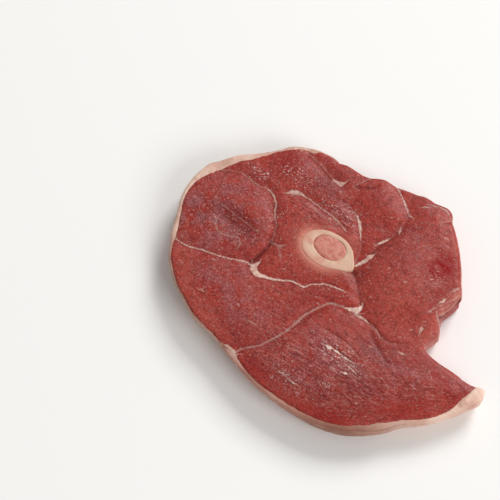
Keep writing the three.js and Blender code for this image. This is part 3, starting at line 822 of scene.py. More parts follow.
@dataclass(frozen=True)
class LeanFinish(Finish):
    """Raw lamb muscle, sawn across its fibres.

    It is dull red with a purplish bloom, lightened in places with painted sheen, and finely mottled by the
    cut ends of the fibre bundles. It is moist and glossy where wet, with painted glinting specks there,
    painted highlights on its seams of fat, and painted shade in its creases and beside its seams.
    """

    red: str = "#97312b"
    rust: str = "#ab3f32"
    # purplish tone of the muscle, light enough to lay a painted sheen
    purple_and_sheen: str = "#9a5c5e"
    pale: str = "#ae5044"
    dusk: str = "#702724"
    blood: str = "#8a0400"
    fibre_light: str = "#bd817b"
    fibre_dark: str = "#641d1b"
    thread: str = "#cc9a8e"
    fat: str = "#d2a797"
    silverskin: str = "#a4736c"
    membrane: str = "#b0635a"
    painted_glint: str = "#dfc3bd"
    # painted glints, laid as pale specks over the wet patches
    painted_crease_shade: str = "#641813"
    # painted shade in the creases and in the step's parting
    skin: str = "#c98677"
    # painted highlight on the seams of fat and the wet streaks
    painted_highlight: str = "#ead9cf"
    halo: str = "#d68d7a"
    waver_mm: float = 0.5
    fray_mm: float = 0.3
    least_worn: float = 0.55

    def material(self) -> bpy.types.Material:
        """Builds the material.

        Returns:
            The finished material.
        """
        shading = Shading("Raw lamb muscle", LEAN_MARKS, {
            "clouds": Grain(13, 0.35, 0.65, 0.7),
            "bloom": Grain(6, 0.35, 0.62, 1.0, 3),
            "mottle": Grain(2.6, 0.45, 0.72, 0.45, 3),
            "embers": Grain(1.7, 0.52, 0.7, 0.55),
            "light_specks": Grain(0.75, 0.52, 0.7, 0.68),
            "dark_specks": Grain(0.85, 0.5, 0.68, 0.6),
            "along": Grain(0.75, 0.5, 0.7, 0.6, 2, (7, 1, 1), 5),
            "dark_along": Grain(0.9, 0.5, 0.7, 0.9, 2, (7, 1, 1), 5),
            "sweep": Grain(0.8, 0.5, 0.78, 0.5, 2, (7, 1, 1), 36),
            "dark_sweep": Grain(1.1, 0.5, 0.78, 0.5, 2, (7, 1, 1), 36),
            "threads": Grain(2.1, 0.67, 0.72, 0.5, 3, (1.8, 1, 1), 20),
            "waver": Grain(1.5, 0.2, 0.8, 1.0, 3),
            "fray": Grain(0.9, 0.25, 0.75),
            "breaks": Grain(2.4, 0.3, 0.52),
            # lumps of painted highlight on the seams
            "painted_highlight_lumps": Grain(1.3, 0.42, 0.7, 0.7),
            "film": Grain(1.5, 0.5, 0.66, 0.5, 3, (2.5, 1, 1), 60),
            "spots": Grain(1.6, 0.2, 0.5, 1.0, 3),
            "painted_glints": Grain(0.8, 0.61, 0.69, 0.85, 2, (1.5, 1, 1), 30),
        })
        marks, masks = shading.marks, shading.masks
        beyond, worn = self.seam_line(shading)
        rows = {
            "line": (beyond, -0.4, 0.15, 1.0, 0.0),
            # shade: where painted shade lies beside a seam
            "shade": (beyond, 0.0, 0.9, 0.35, 0.0),
            "close": (marks["seam_near"], 1.6, 2.2, 1.0, 0.0),
            "painted_highlight": (marks["seam_fat"], 1.0, 2.0, 0.0, 1.0),
            "speckled": (marks["purple_and_sheen"], 0.0, 0.7, 0.55, 1.0),
            "rough": (marks["wet"], 0.0, 1.0, 0.36, 0.2),
            "relief": (marks["wet"], 0.0, 1.0, 0.12, 0.45),
        }
        ramps = {
            name: shading.add("ShaderNodeMapRange", dict(enumerate(row))).outputs[0]
            for name, row in rows.items()
        }
        seam = (ramps["line"], ramps["close"], marks["seam_show"], worn)
        colour = shading.lay(
            self.red,
            (self.rust, masks["clouds"]),
            # purplish bloom of the muscle, partly painted sheen
            (self.purple_and_sheen, marks["purple_and_sheen"], masks["bloom"], 0.9),
            # paler tone, which in the valley from the tip of the bone is painted light
            (self.pale, marks["pale"], 0.75),
            (self.dusk, marks["dusk"]),
            (self.rust, marks["rim"], 0.8),
            (self.fibre_dark, masks["mottle"]),
            (self.fibre_dark, masks["dark_along"], marks["along"]),
            (self.fibre_dark, masks["dark_sweep"], marks["sweep"]),
            (self.rust, masks["embers"]),
            (self.fibre_dark, masks["dark_specks"]),
            (self.fibre_light, masks["along"], marks["along"]),
            (self.fibre_light, masks["sweep"], marks["sweep"]),
            (self.fibre_light, masks["light_specks"], ramps["speckled"]),
            (self.blood, marks["blood"], masks["spots"]),
            (self.thread, masks["threads"]),
            (self.membrane, marks["membrane"], 0.55),
            (self.thread, marks["membrane"], masks["film"]),
            # painted glints over the wet patches
            (self.painted_glint, marks["wet"], masks["painted_glints"]),
            (self.halo, marks["halo"], 0.9),
            # painted shade along each seam's side, in the dark fibre colour
            (self.fibre_dark, ramps["shade"], ramps["close"], marks["seam_show"]),
            # painted shade in the creases and in the step's parting
            (self.painted_crease_shade, marks["crease"]),
            (self.skin, marks["edge"], masks["breaks"], 0.6),
            (self.silverskin, *seam),
            (self.fat, *seam, marks["seam_fat"]),
            # painted highlights on the seams of fat, all over the line where fat is above 1
            (self.painted_highlight, *seam, marks["seam_fat"], masks["painted_highlight_lumps"]),
            (self.painted_highlight, *seam, ramps["painted_highlight"]),
        )
        return shading.close(
            colour, 0.8, ramps["relief"],
            Roughness=ramps["rough"],
            IOR=1.38,
            Specular_IOR_Level=0.3,
            Subsurface_Weight=0.15,
            Subsurface_Radius=(1.0, 0.3, 0.2),
            Subsurface_Scale=1.4 * MM,
        )

    def seam_line(self, shading: Shading) -> tuple[bpy.types.NodeSocket, bpy.types.NodeSocket]:
        """Makes the seams waver, fray and break up.

        Args:
            shading: the material in the making.

        Returns:
            How far beyond a seam's edge a point is, in millimetres, and how whole the seam is there.
        """
        add, marks, masks = shading.add, shading.marks, shading.masks
        wavering = add("ShaderNodeMath", {
            0: masks["waver"], 1: self.waver_mm, 2: marks["seam"],
        }, operation="MULTIPLY_ADD")
        centred = add("ShaderNodeMath", {0: wavering.outputs[0], 1: self.waver_mm / 2}, operation="SUBTRACT")
        aside = add("ShaderNodeMath", {0: centred.outputs[0]}, operation="ABSOLUTE").outputs[0]
        frayed = add("ShaderNodeMath", {
            0: masks["fray"], 1: -self.fray_mm, 2: aside,
        }, operation="MULTIPLY_ADD")
        beyond = add("ShaderNodeMath", {0: frayed.outputs[0], 1: marks["seam_half"]}, operation="SUBTRACT")
        worn = add("ShaderNodeMath", {
            0: masks["breaks"], 1: 1 - self.least_worn, 2: self.least_worn,
        }, operation="MULTIPLY_ADD")
        return beyond.outputs[0], worn.outputs[0]


@dataclass(frozen=True)
class FatFinish(Finish):
    """The firm outer fat of a leg under its thin skin.

    It is cream and waxy on the cut, flushed pink in places, and browner where its outer side has dried; low
    down on its wall it is also darkened with painted shade.
    """

    cream: str = "#eac9b7"
    peach: str = "#d09c89"
    flush: str = "#b47466"
    # browner tone of dried skin, also painted shade low on the wall
    dry_and_shade: str = "#8e5c4a"
    dark: str = "#6a4033"

    def material(self) -> bpy.types.Material:
        """Builds the material.

        Returns:
            The finished material.
        """
        shading = Shading("Raw lamb fat", ("dry_and_shade", "thin"), {
            "clouds": Grain(8, 0.4, 0.65, 0.6, 3),
            "flush": Grain(4, 0.55, 0.72, 0.55, 3, (2, 2, 0.6)),
            "lobules": Grain(1.1, 0.45, 0.75, 0.3),
            "bands": Grain(1.2, 0.42, 0.7, 0.7, 3, (6, 6, 0.7)),
            "dark_bands": Grain(1.6, 0.52, 0.75, 0.8, 3, (8, 8, 0.5)),
        })
        marks, masks = shading.marks, shading.masks
        colour = shading.lay(
            self.cream,
            (self.peach, masks["clouds"]),
            (self.peach, masks["lobules"]),
            (self.flush, marks["thin"], 0.75),
            (self.flush, masks["flush"]),
            # dried skin and painted shade, darker low on the wall
            (self.dry_and_shade, marks["dry_and_shade"]),
            (self.peach, marks["dry_and_shade"], masks["bands"], 0.6),
            (self.dark, marks["dry_and_shade"], masks["dark_bands"]),
        )
        return shading.close(
            colour, 1.4, 0.25,
            Roughness=0.42,
            IOR=1.44,
            Specular_IOR_Level=0.45,
            Subsurface_Weight=0.25,
            Subsurface_Radius=(1.0, 0.6, 0.45),
            Subsurface_Scale=1.4 * MM,
        )


@dataclass(frozen=True)
class BoneFinish(Finish):
    """Fresh compact bone cut by a saw: dense and ivory, with a flushed skin."""

    ivory: str = "#d8b59c"
    warm: str = "#d2aa90"
    flush: str = "#cb8674"

    def material(self) -> bpy.types.Material:
        """Builds the material.

        Returns:
            The finished material.
        """
        shading = Shading("Sawn bone", ("rim",), {
            "clouds": Grain(4, 0.4, 0.7, 0.35, 3),
            "pores": Grain(0.7, 0.5, 0.75, 0.3),
        })
        colour = shading.lay(
            self.ivory,
            (self.warm, shading.masks["clouds"]),
            (self.warm, shading.masks["pores"]),
            (self.flush, shading.marks["rim"], 0.85),
        )
        return shading.close(
            colour, 0.6, 0.06,
            Roughness=0.5,
            IOR=1.5,
            Subsurface_Weight=0.12,
            Subsurface_Radius=(1.0, 0.7, 0.5),
            Subsurface_Scale=1.0 * MM,
        )


@dataclass(frozen=True)
class MarrowFinish(Finish):
    """Red and yellow marrow mixed: soft, granular and salmon pink, redder where it meets the bone."""

    salmon: str = "#d28f7d"
    rose: str = "#c06c60"
    pale: str = "#d79f8d"

    def material(self) -> bpy.types.Material:
        """Builds the material.

        Returns:
            The finished material.
        """
        shading = Shading("Marrow", ("rim",), {
            "clots": Grain(2.2, 0.45, 0.7, 0.6, 3),
            "grains": Grain(0.8, 0.5, 0.75, 0.6),
            "waver": Grain(1.8, 0.3, 0.7, 0.9, 3),
        })
        colour = shading.lay(
            self.salmon,
            (self.rose, shading.masks["clots"]),
            (self.pale, shading.masks["grains"]),
            (self.rose, shading.masks["waver"], shading.marks["rim"]),
        )
        return shading.close(
            colour, 0.7, 0.15,
            Roughness=0.45,
            IOR=1.38,
            Subsurface_Weight=0.2,
            Subsurface_Radius=(1.0, 0.5, 0.35),
            Subsurface_Scale=1.2 * MM,
        )


@dataclass(frozen=True)
class FleckFinish(Finish):
    """Specks of fat and gristle between the fibre bundles: small, pale pink and wet."""

    pale: str = "#c69a8c"
    pink: str = "#b4776c"

    def material(self) -> bpy.types.Material:
        """Builds the material.

        Returns:
            The finished material.
        """
        shading = Shading("Marbling", (), {"clouds": Grain(3, 0.4, 0.6)})
        colour = shading.lay(self.pale, (self.pink, shading.masks["clouds"]))
        return shading.close(colour, 0.5, 0.05, Roughness=0.3, IOR=1.44)


@dataclass(frozen=True)
class Relief:
    """The relief of a piece of meat.

    Attributes:
        evening: rounds of smoothing that even out the solid's facets.
        bundle_mm: size of the fibre bundles, which lift the skin up and down.
        bundle_height_mm: how far they lift it.
        drag_mm: size of the saw's drag marks.
        drag_height_mm: their height.
        seed: the seed of both patterns.
    """

    evening: int
    bundle_mm: float
    bundle_height_mm: float
    drag_mm: float
    drag_height_mm: float
    seed: float

    FREE_FROM = 0.1 * MM  # the resting face stays flat up to here
    FREE_FULLY = 1.6 * MM
    DRAG_STRETCH = 7.0

    def give(self, piece: bpy.types.Object, material: bpy.types.Material) -> None:
        """Gives a piece its relief and its material.

        Args:
            piece: the piece.
            material: its material.
        """
        sizes = {
            "Evening": self.evening,
            "Bundle Size": self.bundle_mm,
            "Bundle Height": self.bundle_height_mm,
            "Drag Size": self.drag_mm,
            "Drag Height": self.drag_height_mm,
            "Seed": self.seed,
        }
        run_tree(piece, self.tree(f"Relief of {piece.name}", sizes, material), sizes)

    def tree(self, name: str, sizes: dict[str, object], material: bpy.types.Material) -> bpy.types.NodeTree:
        """Builds the tree that gives a smooth solid the relief of meat.

        It evens out the facets, then moves the skin along its normal: up and down with the fibre bundles and
        the saw's drag marks, and in or out as far as the attribute lift says.

        Args:
            name: the tree's name.
            sizes: the sizes that are its inputs.
            material: the material of the result.

        Returns:
            The tree.
        """
        tree, given = new_geometry_tree(name, sizes)
        add = partial(add_node, tree)
        place = add("GeometryNodeInputPosition").outputs[0]
        even = add("GeometryNodeBlurAttribute", {
            "Value": place, "Iterations": given.outputs["Evening"], "Weight": 1.0,
        }, data_type="FLOAT_VECTOR")
        evened = add("GeometryNodeSetPosition", {
            "Geometry": given.outputs["Geometry"], "Position": even.outputs[0],
        })
        total = add("GeometryNodeInputNamedAttribute", {"Name": "lift"}, data_type="FLOAT").outputs[0]
        for kind, stretch in (("Bundle", 1.0), ("Drag", self.DRAG_STRETCH)):
            across = add("ShaderNodeMath", {0: 1 / MM, 1: given.outputs[f"{kind} Size"]}, operation="DIVIDE")
            scaled = add("ShaderNodeVectorMath", {0: place, "Scale": across.outputs[0]}, operation="SCALE")
            drawn = add("ShaderNodeVectorMath", {
                0: scaled.outputs[0], 1: (1 / stretch, 1, 1),
            }, operation="MULTIPLY")
            noise = add("ShaderNodeTexNoise", {
                "Vector": drawn.outputs[0], "W": given.outputs["Seed"], "Scale": 1.0, "Detail": 2.0,
            }, noise_dimensions="4D")
            centred = add("ShaderNodeMath", {0: noise.outputs[0], 1: 0.5}, operation="SUBTRACT").outputs[0]
            total = add("ShaderNodeMath", {
                0: centred, 1: given.outputs[f"{kind} Height"], 2: total,
            }, operation="MULTIPLY_ADD").outputs[0]
        level = add("ShaderNodeSeparateXYZ", {0: place}).outputs["Z"]
        free = add("ShaderNodeMapRange", {0: level, 1: self.FREE_FROM, 2: self.FREE_FULLY, 3: 0.0, 4: MM})
        amount = add("ShaderNodeMath", {0: total, 1: free.outputs[0]}, operation="MULTIPLY")
        normal = add("GeometryNodeInputNormal").outputs[0]
        offset = add("ShaderNodeVectorMath", {0: normal, "Scale": amount.outputs[0]}, operation="SCALE")
        moved = add("GeometryNodeSetPosition", {"Geometry": evened.outputs[0], "Offset": offset.outputs[0]})
        smooth = add("GeometryNodeSetShadeSmooth", {"Geometry": moved.outputs[0]})
        end_geometry_tree(tree, smooth.outputs[0], material)
        return tree


class Rim:
    """Where points lie round the edge of the lean, and what shows there."""

    def __init__(self, outline: Outline, points: np.ndarray) -> None:
        """Measures the points.

        Args:
            outline: the edge of the lean.
            points: the points in millimetres.
        """
        self.beyond, self.outwards = outline.outward(points)
        self.angle = outline.angles(points)
        self.cover, self.thick, self.bulge = (
            np.interp(self.angle, *table.T, period=360) for table in (RIM_COVER, RIM_THICKNESS, RIM_BULGE)
        )


@dataclass
class SolidPiece(ABC):
    """A piece that stands for one solid of the frame.

    Attributes:
        node: the frame's solid.
        name: the piece's name.
        slot: its material slot.
        voxel_mm: the length of one face of its even skin.
        relief: the relief of that skin.
        finish: its finish.
    """

    node: str
    name: str
    slot: Slot
    voxel_mm: float
    relief: Relief
    finish: Finish

    def build(self) -> bpy.types.Object:
        """Builds the piece and dresses it.

        Returns:
            The finished piece.
        """
        piece = solid_copy(self.node, self.name)
        even_skin(piece, self.voxel_mm)
        points = points_mm(piece)
        marks, moved = self.shape(points)
        for name, values in ({"lift": np.zeros(len(points))} | marks).items():
            set_attribute(piece, name, values)
        move_points(piece, moved)
        self.relief.give(piece, self.finish.material())
        finish_piece(piece, self.slot, self.node)
        return piece

    @abstractmethod
    def shape(self, points: np.ndarray) -> tuple[dict[str, np.ndarray], np.ndarray]:
        """Shapes the piece and marks it for its finish and its relief.

        Args:
            points: the points of the even skin in millimetres.

        Returns:
            By name, the marks to store at the points, and the points' new places.
        """


@dataclass
class LeanMeat(SolidPiece):
    """The muscles of the slice, with the seams that part them."""

    node: str = "lean_meat"
    name: str = "lean"
    slot: Slot = Slot.LEAN
    voxel_mm: float = 0.62
    relief: Relief = Relief(4, 3.0, 0.42, 1.5, 0.28, 3.0)
    finish: Finish = LeanFinish()

    # the seams and creases
    seam_reach_mm: float = 6.0
    groove_mm: float = 0.14
    groove_half_mm: float = 0.9
    tissue_mm: float = 0.15
    tissue_fade_mm: float = 0.3
    crease_mm: float = 0.6

    # the lower strip of the step: its parting, its bulge, the lip above it and the fades round its wall
    parting_depth: float = 0.8
    step_bulge_mm: float = 0.5
    strip_tone: float = 0.8
    lip_above_mm: float = 3.2
    lip_half_mm: float = 0.9
    step_fades_mm: tuple[float, float, float] = (0.8, 1.5, 2.0)

    # the tones at the outer edge and at the bone, and where the flecks lie
    rim_mm: float = 2.4
    edge_mm: float = 0.9
    halo_mm: float = 2.1
    halo_strength: float = 1.2
    fleck_inset_mm: float = 2.0
    fleck_fade_mm: float = 3.0
    fleck_off_bone_mm: float = 1.5
    fleck_least: float = 0.1

    # the joins with the fat and with the bone
    reach_mm: float = 3.0
    lap_mm: float = 2.2
    lap_fade_mm: float = 1.4
    rim_raise_mm: float = 0.45
    under_fat_mm: float = 0.7
    full_fat_mm: float = 1.6
    least_under: float = 0.2
    foot_mm: float = 4.0
    least_at_foot: float = 0.3
    into_bone_mm: float = 1.9
    bone_raise_mm: float = 0.25
    bone_raise_fade: float = 0.6
    below_bone_mm: float = 0.04

    def shape(self, points: np.ndarray) -> tuple[dict[str, np.ndarray], np.ndarray]:
        """Marks the seams and tones, and joins the meat to the fat and the bone.

        Args:
            points: the points of the even skin in millimetres.

        Returns:
            By name, the marks to store at the points, and the points' new places.
        """
        moved = points.copy()
        self.join_fat(points, moved)
        self.join_bone(points, moved)
        return self.seam_marks(points) | self.tone_marks(points), moved

    def seam_marks(self, points: np.ndarray) -> dict[str, np.ndarray]:
        """Finds where each point lies from its nearest seam, and how far it is moved in or out.

        Args:
            points: the points in millimetres.

        Returns:
            The marks by name.
        """
        flat = points[:, :2]
        near = np.full(len(flat), self.seam_reach_mm)
        marks = {name: np.zeros(len(flat)) for name in SEAM_MARKS}
        marks["seam"] += NO_SEAM_MM
        for seam in SEAMS:
            path = smooth_path(seam.path)
            low = path[:, :2].min(0) - self.seam_reach_mm
            high = path[:, :2].max(0) + self.seam_reach_mm
            local = np.flatnonzero(((flat > low) & (flat < high)).all(1))
            distance, side, width = nearest_on_path(flat[local], path)
            beyond = distance - width / 2
            better = beyond < near[local]
            chosen = local[better]
            near[chosen] = beyond[better]
            marks["seam"][chosen] = (side * distance)[better]
            marks["seam_half"][chosen] = width[better] / 2
            marks["seam_fat"][chosen] = seam.fat
            marks["seam_show"][chosen] = seam.show
        near = np.maximum(near, 0)
        above, wall = self.above_parting(points)
        crease = self.crease_depth(points, above, wall)
        groove = np.exp(-((near / self.groove_half_mm) ** 2)) * marks["seam_show"]
        tissue = np.clip(1 - near / self.tissue_fade_mm, 0, 1) * np.minimum(marks["seam_fat"], 1)
        lift = self.tissue_mm * (tissue * marks["seam_show"]) - self.groove_mm * groove
        lift = lift - self.crease_mm * crease + self.step_bulge_mm * wall * np.clip(-above, 0, 1)
        return marks | {"seam_near": near, "crease": crease, "lift": lift}

    def crease_depth(self, points: np.ndarray, above: np.ndarray, wall: np.ndarray) -> np.ndarray:
        """Finds how deep in a crease or in the step's parting each point lies.

        Args:
            points: the points in millimetres.
            above: how far they are above the parting.
            wall: 1 or less where they are on the step's wall.

        Returns:
            One number from 0 to 1 for each point.
        """
        crease = np.zeros(len(points))
        for fold in CREASES:
            distance, _, width = nearest_on_path(points[:, :2], smooth_path(fold.path))
            crease = np.maximum(crease, fold.strength * np.exp(-((distance / width) ** 2)))
        return np.maximum(crease, self.parting_depth * wall * np.exp(-(above**2)))

    def above_parting(self, points: np.ndarray) -> tuple[np.ndarray, np.ndarray]:
        """Finds the strip below the step.

        Args:
            points: the points in millimetres.

        Returns:
            How far each point is above the strip's parting, and 1 or less where it is on the step's wall.
        """
        y = points[:, 1]
        start, end = STEP_PARTING[0, 0], STEP_PARTING[-1, 0]
        at_back, at_start, at_end = self.step_fades_mm
        wall = np.clip((points[:, 0] - STEP_BACK_MM) / at_back, 0, 1)
        wall *= np.clip((y - start) / at_start, 0, 1) * np.clip((end + 1 - y) / at_end, 0, 1)
        return points[:, 2] - np.interp(y, *STEP_PARTING.T), wall

    def tone_marks(self, points: np.ndarray) -> dict[str, np.ndarray]:
        """Finds the patches of each tone, the nearness of the edge and where flecks lie.

        Args:
            points: the points in millimetres.

        Returns:
            The marks by name.
        """
        tones = {tone: patch_amount(points, tone) for tone in Tone}
        above, wall = self.above_parting(points)
        tones[Tone.MEMBRANE] *= 1 - wall * np.clip(1 - above, 0, self.strip_tone)
        tones[Tone.PURPLE_AND_SHEEN] = np.maximum(tones[Tone.PURPLE_AND_SHEEN], wall * np.clip(-above, 0, self.strip_tone))
        depth = Outline(points, KERNEL_MM).depth(points)
        bare = (1 - skin_side(points)) * (1 - wall)
        lip = wall * np.exp(-(((above - self.lip_above_mm) / self.lip_half_mm) ** 2))
        from_bone = Outline(node_points("leg_bone"), BONE_MIDDLE_MM).outward(points)[0]
        halo = self.halo_strength * np.exp(-((from_bone / self.halo_mm) ** 2)) * bone_flush(points)
        on_top = points[:, 2] > TOP_FACE_MM
        inland = np.clip((depth - self.fleck_inset_mm) / self.fleck_fade_mm, 0, 1) * on_top
        share = (self.fleck_least + tones[Tone.WET]) / (1 + self.fleck_least)
        return {tone.value: amount for tone, amount in tones.items()} | {
            "rim": np.clip(1 - depth / self.rim_mm, 0, 1),
            "edge": np.maximum(np.clip(1 - depth / self.edge_mm, 0, 1) * bare, lip),
            "halo": np.minimum(halo, 1) * on_top,
            "fleck": inland * (from_bone > self.fleck_off_bone_mm) * share,
        }

    def join_fat(self, points: np.ndarray, moved: np.ndarray) -> None:
        """Stretches the meat under the edge of the fat, and over it where the fat shows thin.

        Args:
            points: the points in millimetres.
            moved: their new places, which this changes.
        """
        outline = Outline(points, KERNEL_MM)
        rim = Rim(outline, points)
        at_edge = np.clip(1 + rim.beyond / self.reach_mm, 0, 1)
        near = at_edge * skin_side(points)
        high = np.clip((points[:, 2] - outline.tops(points) + self.lap_mm) / self.lap_fade_mm, 0, 1)
        under = self.under_fat_mm * np.clip(rim.thick / self.full_fat_mm, self.least_under, 1)
        under *= np.clip(points[:, 2] / self.foot_mm, self.least_at_foot, 1)
        shift = near * (under + high * np.maximum(rim.cover, 0))
        shift += at_edge * np.interp(rim.angle, *FLAP_BULGE.T, 0, 0)
        moved[:, :2] += rim.outwards * shift[:, None]
        moved[:, 2] += near**2 * high * self.rim_raise_mm * np.clip(1 + rim.cover, 0, 1)

    def join_bone(self, points: np.ndarray, moved: np.ndarray) -> None:
        """Stretches the meat under the edge of the bone, so that no gap shows.

        Args:
            points: the points in millimetres.
            moved: their new places, which this changes.
        """
        bone = node_points("leg_bone")
        from_bone, outwards = Outline(bone, BONE_MIDDLE_MM).outward(points)
        at_hole = np.clip(1 - from_bone / self.reach_mm, 0, 1)
        moved[:, :2] -= outwards * (at_hole * self.into_bone_mm)[:, None]
        rise = np.clip(at_hole / self.bone_raise_fade, 0, 1) ** 2 * self.bone_raise_mm * bone_flush(points)
        raised = np.minimum(moved[:, 2] + rise, bone[:, 2].max() - self.below_bone_mm)
        moved[:, 2] = np.where((at_hole > 0) & (points[:, 2] > TOP_FACE_MM), raised, moved[:, 2])


@dataclass
class FatCover(SolidPiece):
    """The cover of fat along the skin side."""

    node: str = "fat_cover"
    name: str = "fat_cover_finished"
    slot: Slot = Slot.FAT
    voxel_mm: float = 0.42
    relief: Relief = Relief(4, 4.0, 0.5, 1.6, 0.15, 8.0)
    finish: Finish = FatFinish()

    # the shape: how far the fat goes in under the lean, stands proud of it, and runs out at its end
    inner_mm: float = 0.8
    full_inner_mm: float = 2.0
    least_inner: float = 0.45
    under_lean_mm: float = 1.2
    upper_mm: float = 7.0
    upper_fade_mm: float = 3.0
    thin_mm: float = 1.2
    thick_fade_mm: float = 1.5
    proud_mm: float = 0.4
    covered_mm: float = 1.2
    sunk_mm: float = 0.12
    tucked_mm: float = 0.3
    lap_raise_mm: float = 0.45
    end_before_deg: float = 15.0
    end_drawn_in: float = 0.7
    end_sink_mm: float = 0.5

    # the tones: browner low down and on the outer side, partly as dried skin and partly as painted shade,
    # less so towards the tail; flushed where the fat is thin
    dry_and_shade_below_mm: float = 14.3
    dry_and_shade_fade_mm: float = 2.4
    dry_and_shade_beyond_mm: float = 1.0
    dry_and_shade_beyond_fade_mm: float = 0.8
    least_dry_and_shade: float = 0.35
    tail_from_mm: float = 45.0
    tail_fade_mm: float = 20.0
    flush_below_mm: float = 2.4
    flush_fade_mm: float = 1.6
    hidden_flush: float = 0.8

    def shape(self, points: np.ndarray) -> tuple[dict[str, np.ndarray], np.ndarray]:
        """Fits the fat to the lean, and marks where it is browned by drying and by painted shade and where
        it is thin.

        Args:
            points: the points of the even skin in millimetres.

        Returns:
            By name, the marks to store at the points, and the points' new places.
        """
        rim = Rim(Outline(node_points("lean_meat"), KERNEL_MM), points)
        return self.tone_marks(points, rim), self.moved_points(points, rim)

    def moved_points(self, points: np.ndarray, rim: Rim) -> np.ndarray:
        """Moves the fat's inner side under the lean and swells its outer side.

        Args:
            points: the points in millimetres.
            rim: where they lie round the lean.

        Returns:
            Their new places.
        """
        inner_mm = self.inner_mm * np.clip(rim.thick / self.full_inner_mm, self.least_inner, 1)
        inner = np.exp(-((np.maximum(rim.beyond, 0) / inner_mm) ** 2))
        high = np.clip((points[:, 2] - self.upper_mm) / self.upper_fade_mm, 0, 1)
        reach = self.under_lean_mm + high * np.maximum(-rim.cover, 0)
        moved = points.copy()
        moved[:, :2] += rim.outwards * ((1 - inner) * rim.bulge - inner * reach)[:, None]
        proud = np.clip((rim.thick - self.thin_mm) / self.thick_fade_mm, 0, 1) * self.proud_mm
        proud = proud * np.clip(self.covered_mm - rim.cover, 0, 1) - self.sunk_mm
        proud -= self.tucked_mm * inner * np.clip(rim.cover, 0, 1)
        moved[:, 2] += high * (proud + np.clip(-rim.cover, 0, 1) * self.lap_raise_mm)
        start, end = FAT_END_DEG
        ending = np.clip((end - rim.angle) / (end - start), 0, 1) * (rim.angle > start - self.end_before_deg)
        drawn_in = ending * np.maximum(rim.beyond, 0) * self.end_drawn_in
        moved[:, :2] -= rim.outwards * drawn_in[:, None]
        moved[:, 2] -= high * ending * self.end_sink_mm
        return moved

    def tone_marks(self, points: np.ndarray, rim: Rim) -> dict[str, np.ndarray]:
        """Finds where the fat is browned by drying and by painted shade, and where it is so thin that the
        meat flushes it.

        Args:
            points: the points in millimetres.
            rim: where they lie round the lean.

        Returns:
            The marks by name.
        """
        # darker low on the wall: painted shade, with dried skin on the outer side
        low = np.clip((self.dry_and_shade_below_mm - points[:, 2]) / self.dry_and_shade_fade_mm, 0, 1)
        outer = np.clip((rim.beyond - self.dry_and_shade_beyond_mm) / self.dry_and_shade_beyond_fade_mm, 0, 1)
        before_tail = 1 - np.clip((points[:, 0] - self.tail_from_mm) / self.tail_fade_mm, 0, 1)
        dry_and_shade = patch_amount(points, Tone.DRY_AND_SHADE) * np.maximum(low, outer)
        thin = np.clip((self.flush_below_mm - rim.thick) / self.flush_fade_mm, 0, 1)
        shown = 1 - self.hidden_flush * np.clip(rim.cover - 1, 0, 1)
        return {"dry_and_shade": np.maximum(dry_and_shade, self.least_dry_and_shade * before_tail * low), "thin": thin * before_tail * shown}


@dataclass
class ThighBone(SolidPiece):
    """The sawn shaft of the thigh bone.

    Attributes:
        skin_mm: how far in its flushed skin reaches.
        gap_mm: the gap between the marrow and the bone.
        swell_reach_mm: how far from the hole the bone still swells.
        swells: where the bone swells into the hole: direction from the marrow's middle and half width in
            degrees, and how far in millimetres.
    """

    node: str = "leg_bone"
    name: str = "thigh_bone"
    slot: Slot = Slot.BONE
    voxel_mm: float = 0.3
    relief: Relief = Relief(1, 5.0, 0.25, 0.9, 0.05, 5.0)
    finish: Finish = BoneFinish()
    skin_mm: float = 1.7
    gap_mm: float = 0.3
    swell_reach_mm: float = 2.0
    swells: tuple[tuple[float, float, float], ...] = ((2, 30, 1.1), (106, 24, 0.8))

    def shape(self, points: np.ndarray) -> tuple[dict[str, np.ndarray], np.ndarray]:
        """Swells the bone into its hole, and marks its skin.

        Args:
            points: the points of the even skin in millimetres.

        Returns:
            By name, the marks to store at the points, and the points' new places.
        """
        depth = Outline(points, BONE_MIDDLE_MM).depth(points)
        hole = Outline(node_points("marrow"), MARROW_MIDDLE_MM)
        beyond, outwards = hole.outward(points)
        near = np.clip(1 - (beyond - self.gap_mm) / self.swell_reach_mm, 0, 1)
        inwards = np.zeros(len(points))
        for middle, half, amount in self.swells:
            apart = (hole.angles(points) - middle + 180) % 360 - 180
            inwards += amount * np.exp(-((apart / half) ** 2)) * near
        moved = points.copy()
        moved[:, :2] -= outwards * inwards[:, None]
        return {"rim": np.exp(-((depth / self.skin_mm) ** 2)) * bone_flush(points)}, moved


@dataclass
class Marrow(SolidPiece):
    """The plug of marrow in the bone.

    Attributes:
        ring_mm: the width of its redder ring.
        swell_mm: how far it swells outwards.
        swell_fade_mm: how far in from its edge it still swells.
        rise_mm: how far its top rises.
    """

    node: str = "marrow"
    name: str = "marrow_plug"
    slot: Slot = Slot.MARROW
    voxel_mm: float = 0.3
    relief: Relief = Relief(3, 1.8, 0.45, 0.9, 0.1, 6.0)
    finish: Finish = MarrowFinish()
    ring_mm: float = 1.4
    swell_mm: float = 0.8
    swell_fade_mm: float = 2.0
    rise_mm: float = 0.55

    def shape(self, points: np.ndarray) -> tuple[dict[str, np.ndarray], np.ndarray]:
        """Swells the marrow against the bone, and marks its redder ring.

        Args:
            points: the points of the even skin in millimetres.

        Returns:
            By name, the marks to store at the points, and the points' new places.
        """
        beyond, outwards = Outline(points, MARROW_MIDDLE_MM).outward(points)
        swell = np.clip(1 + beyond / self.swell_fade_mm, 0, 1) * self.swell_mm
        moved = points.copy()
        moved[:, :2] += outwards * swell[:, None]
        moved[:, 2] += (points[:, 2] > TOP_FACE_MM) * self.rise_mm
        return {"rim": np.clip(1 + (beyond + self.swell_mm) / self.ring_mm, 0, 1)}, moved


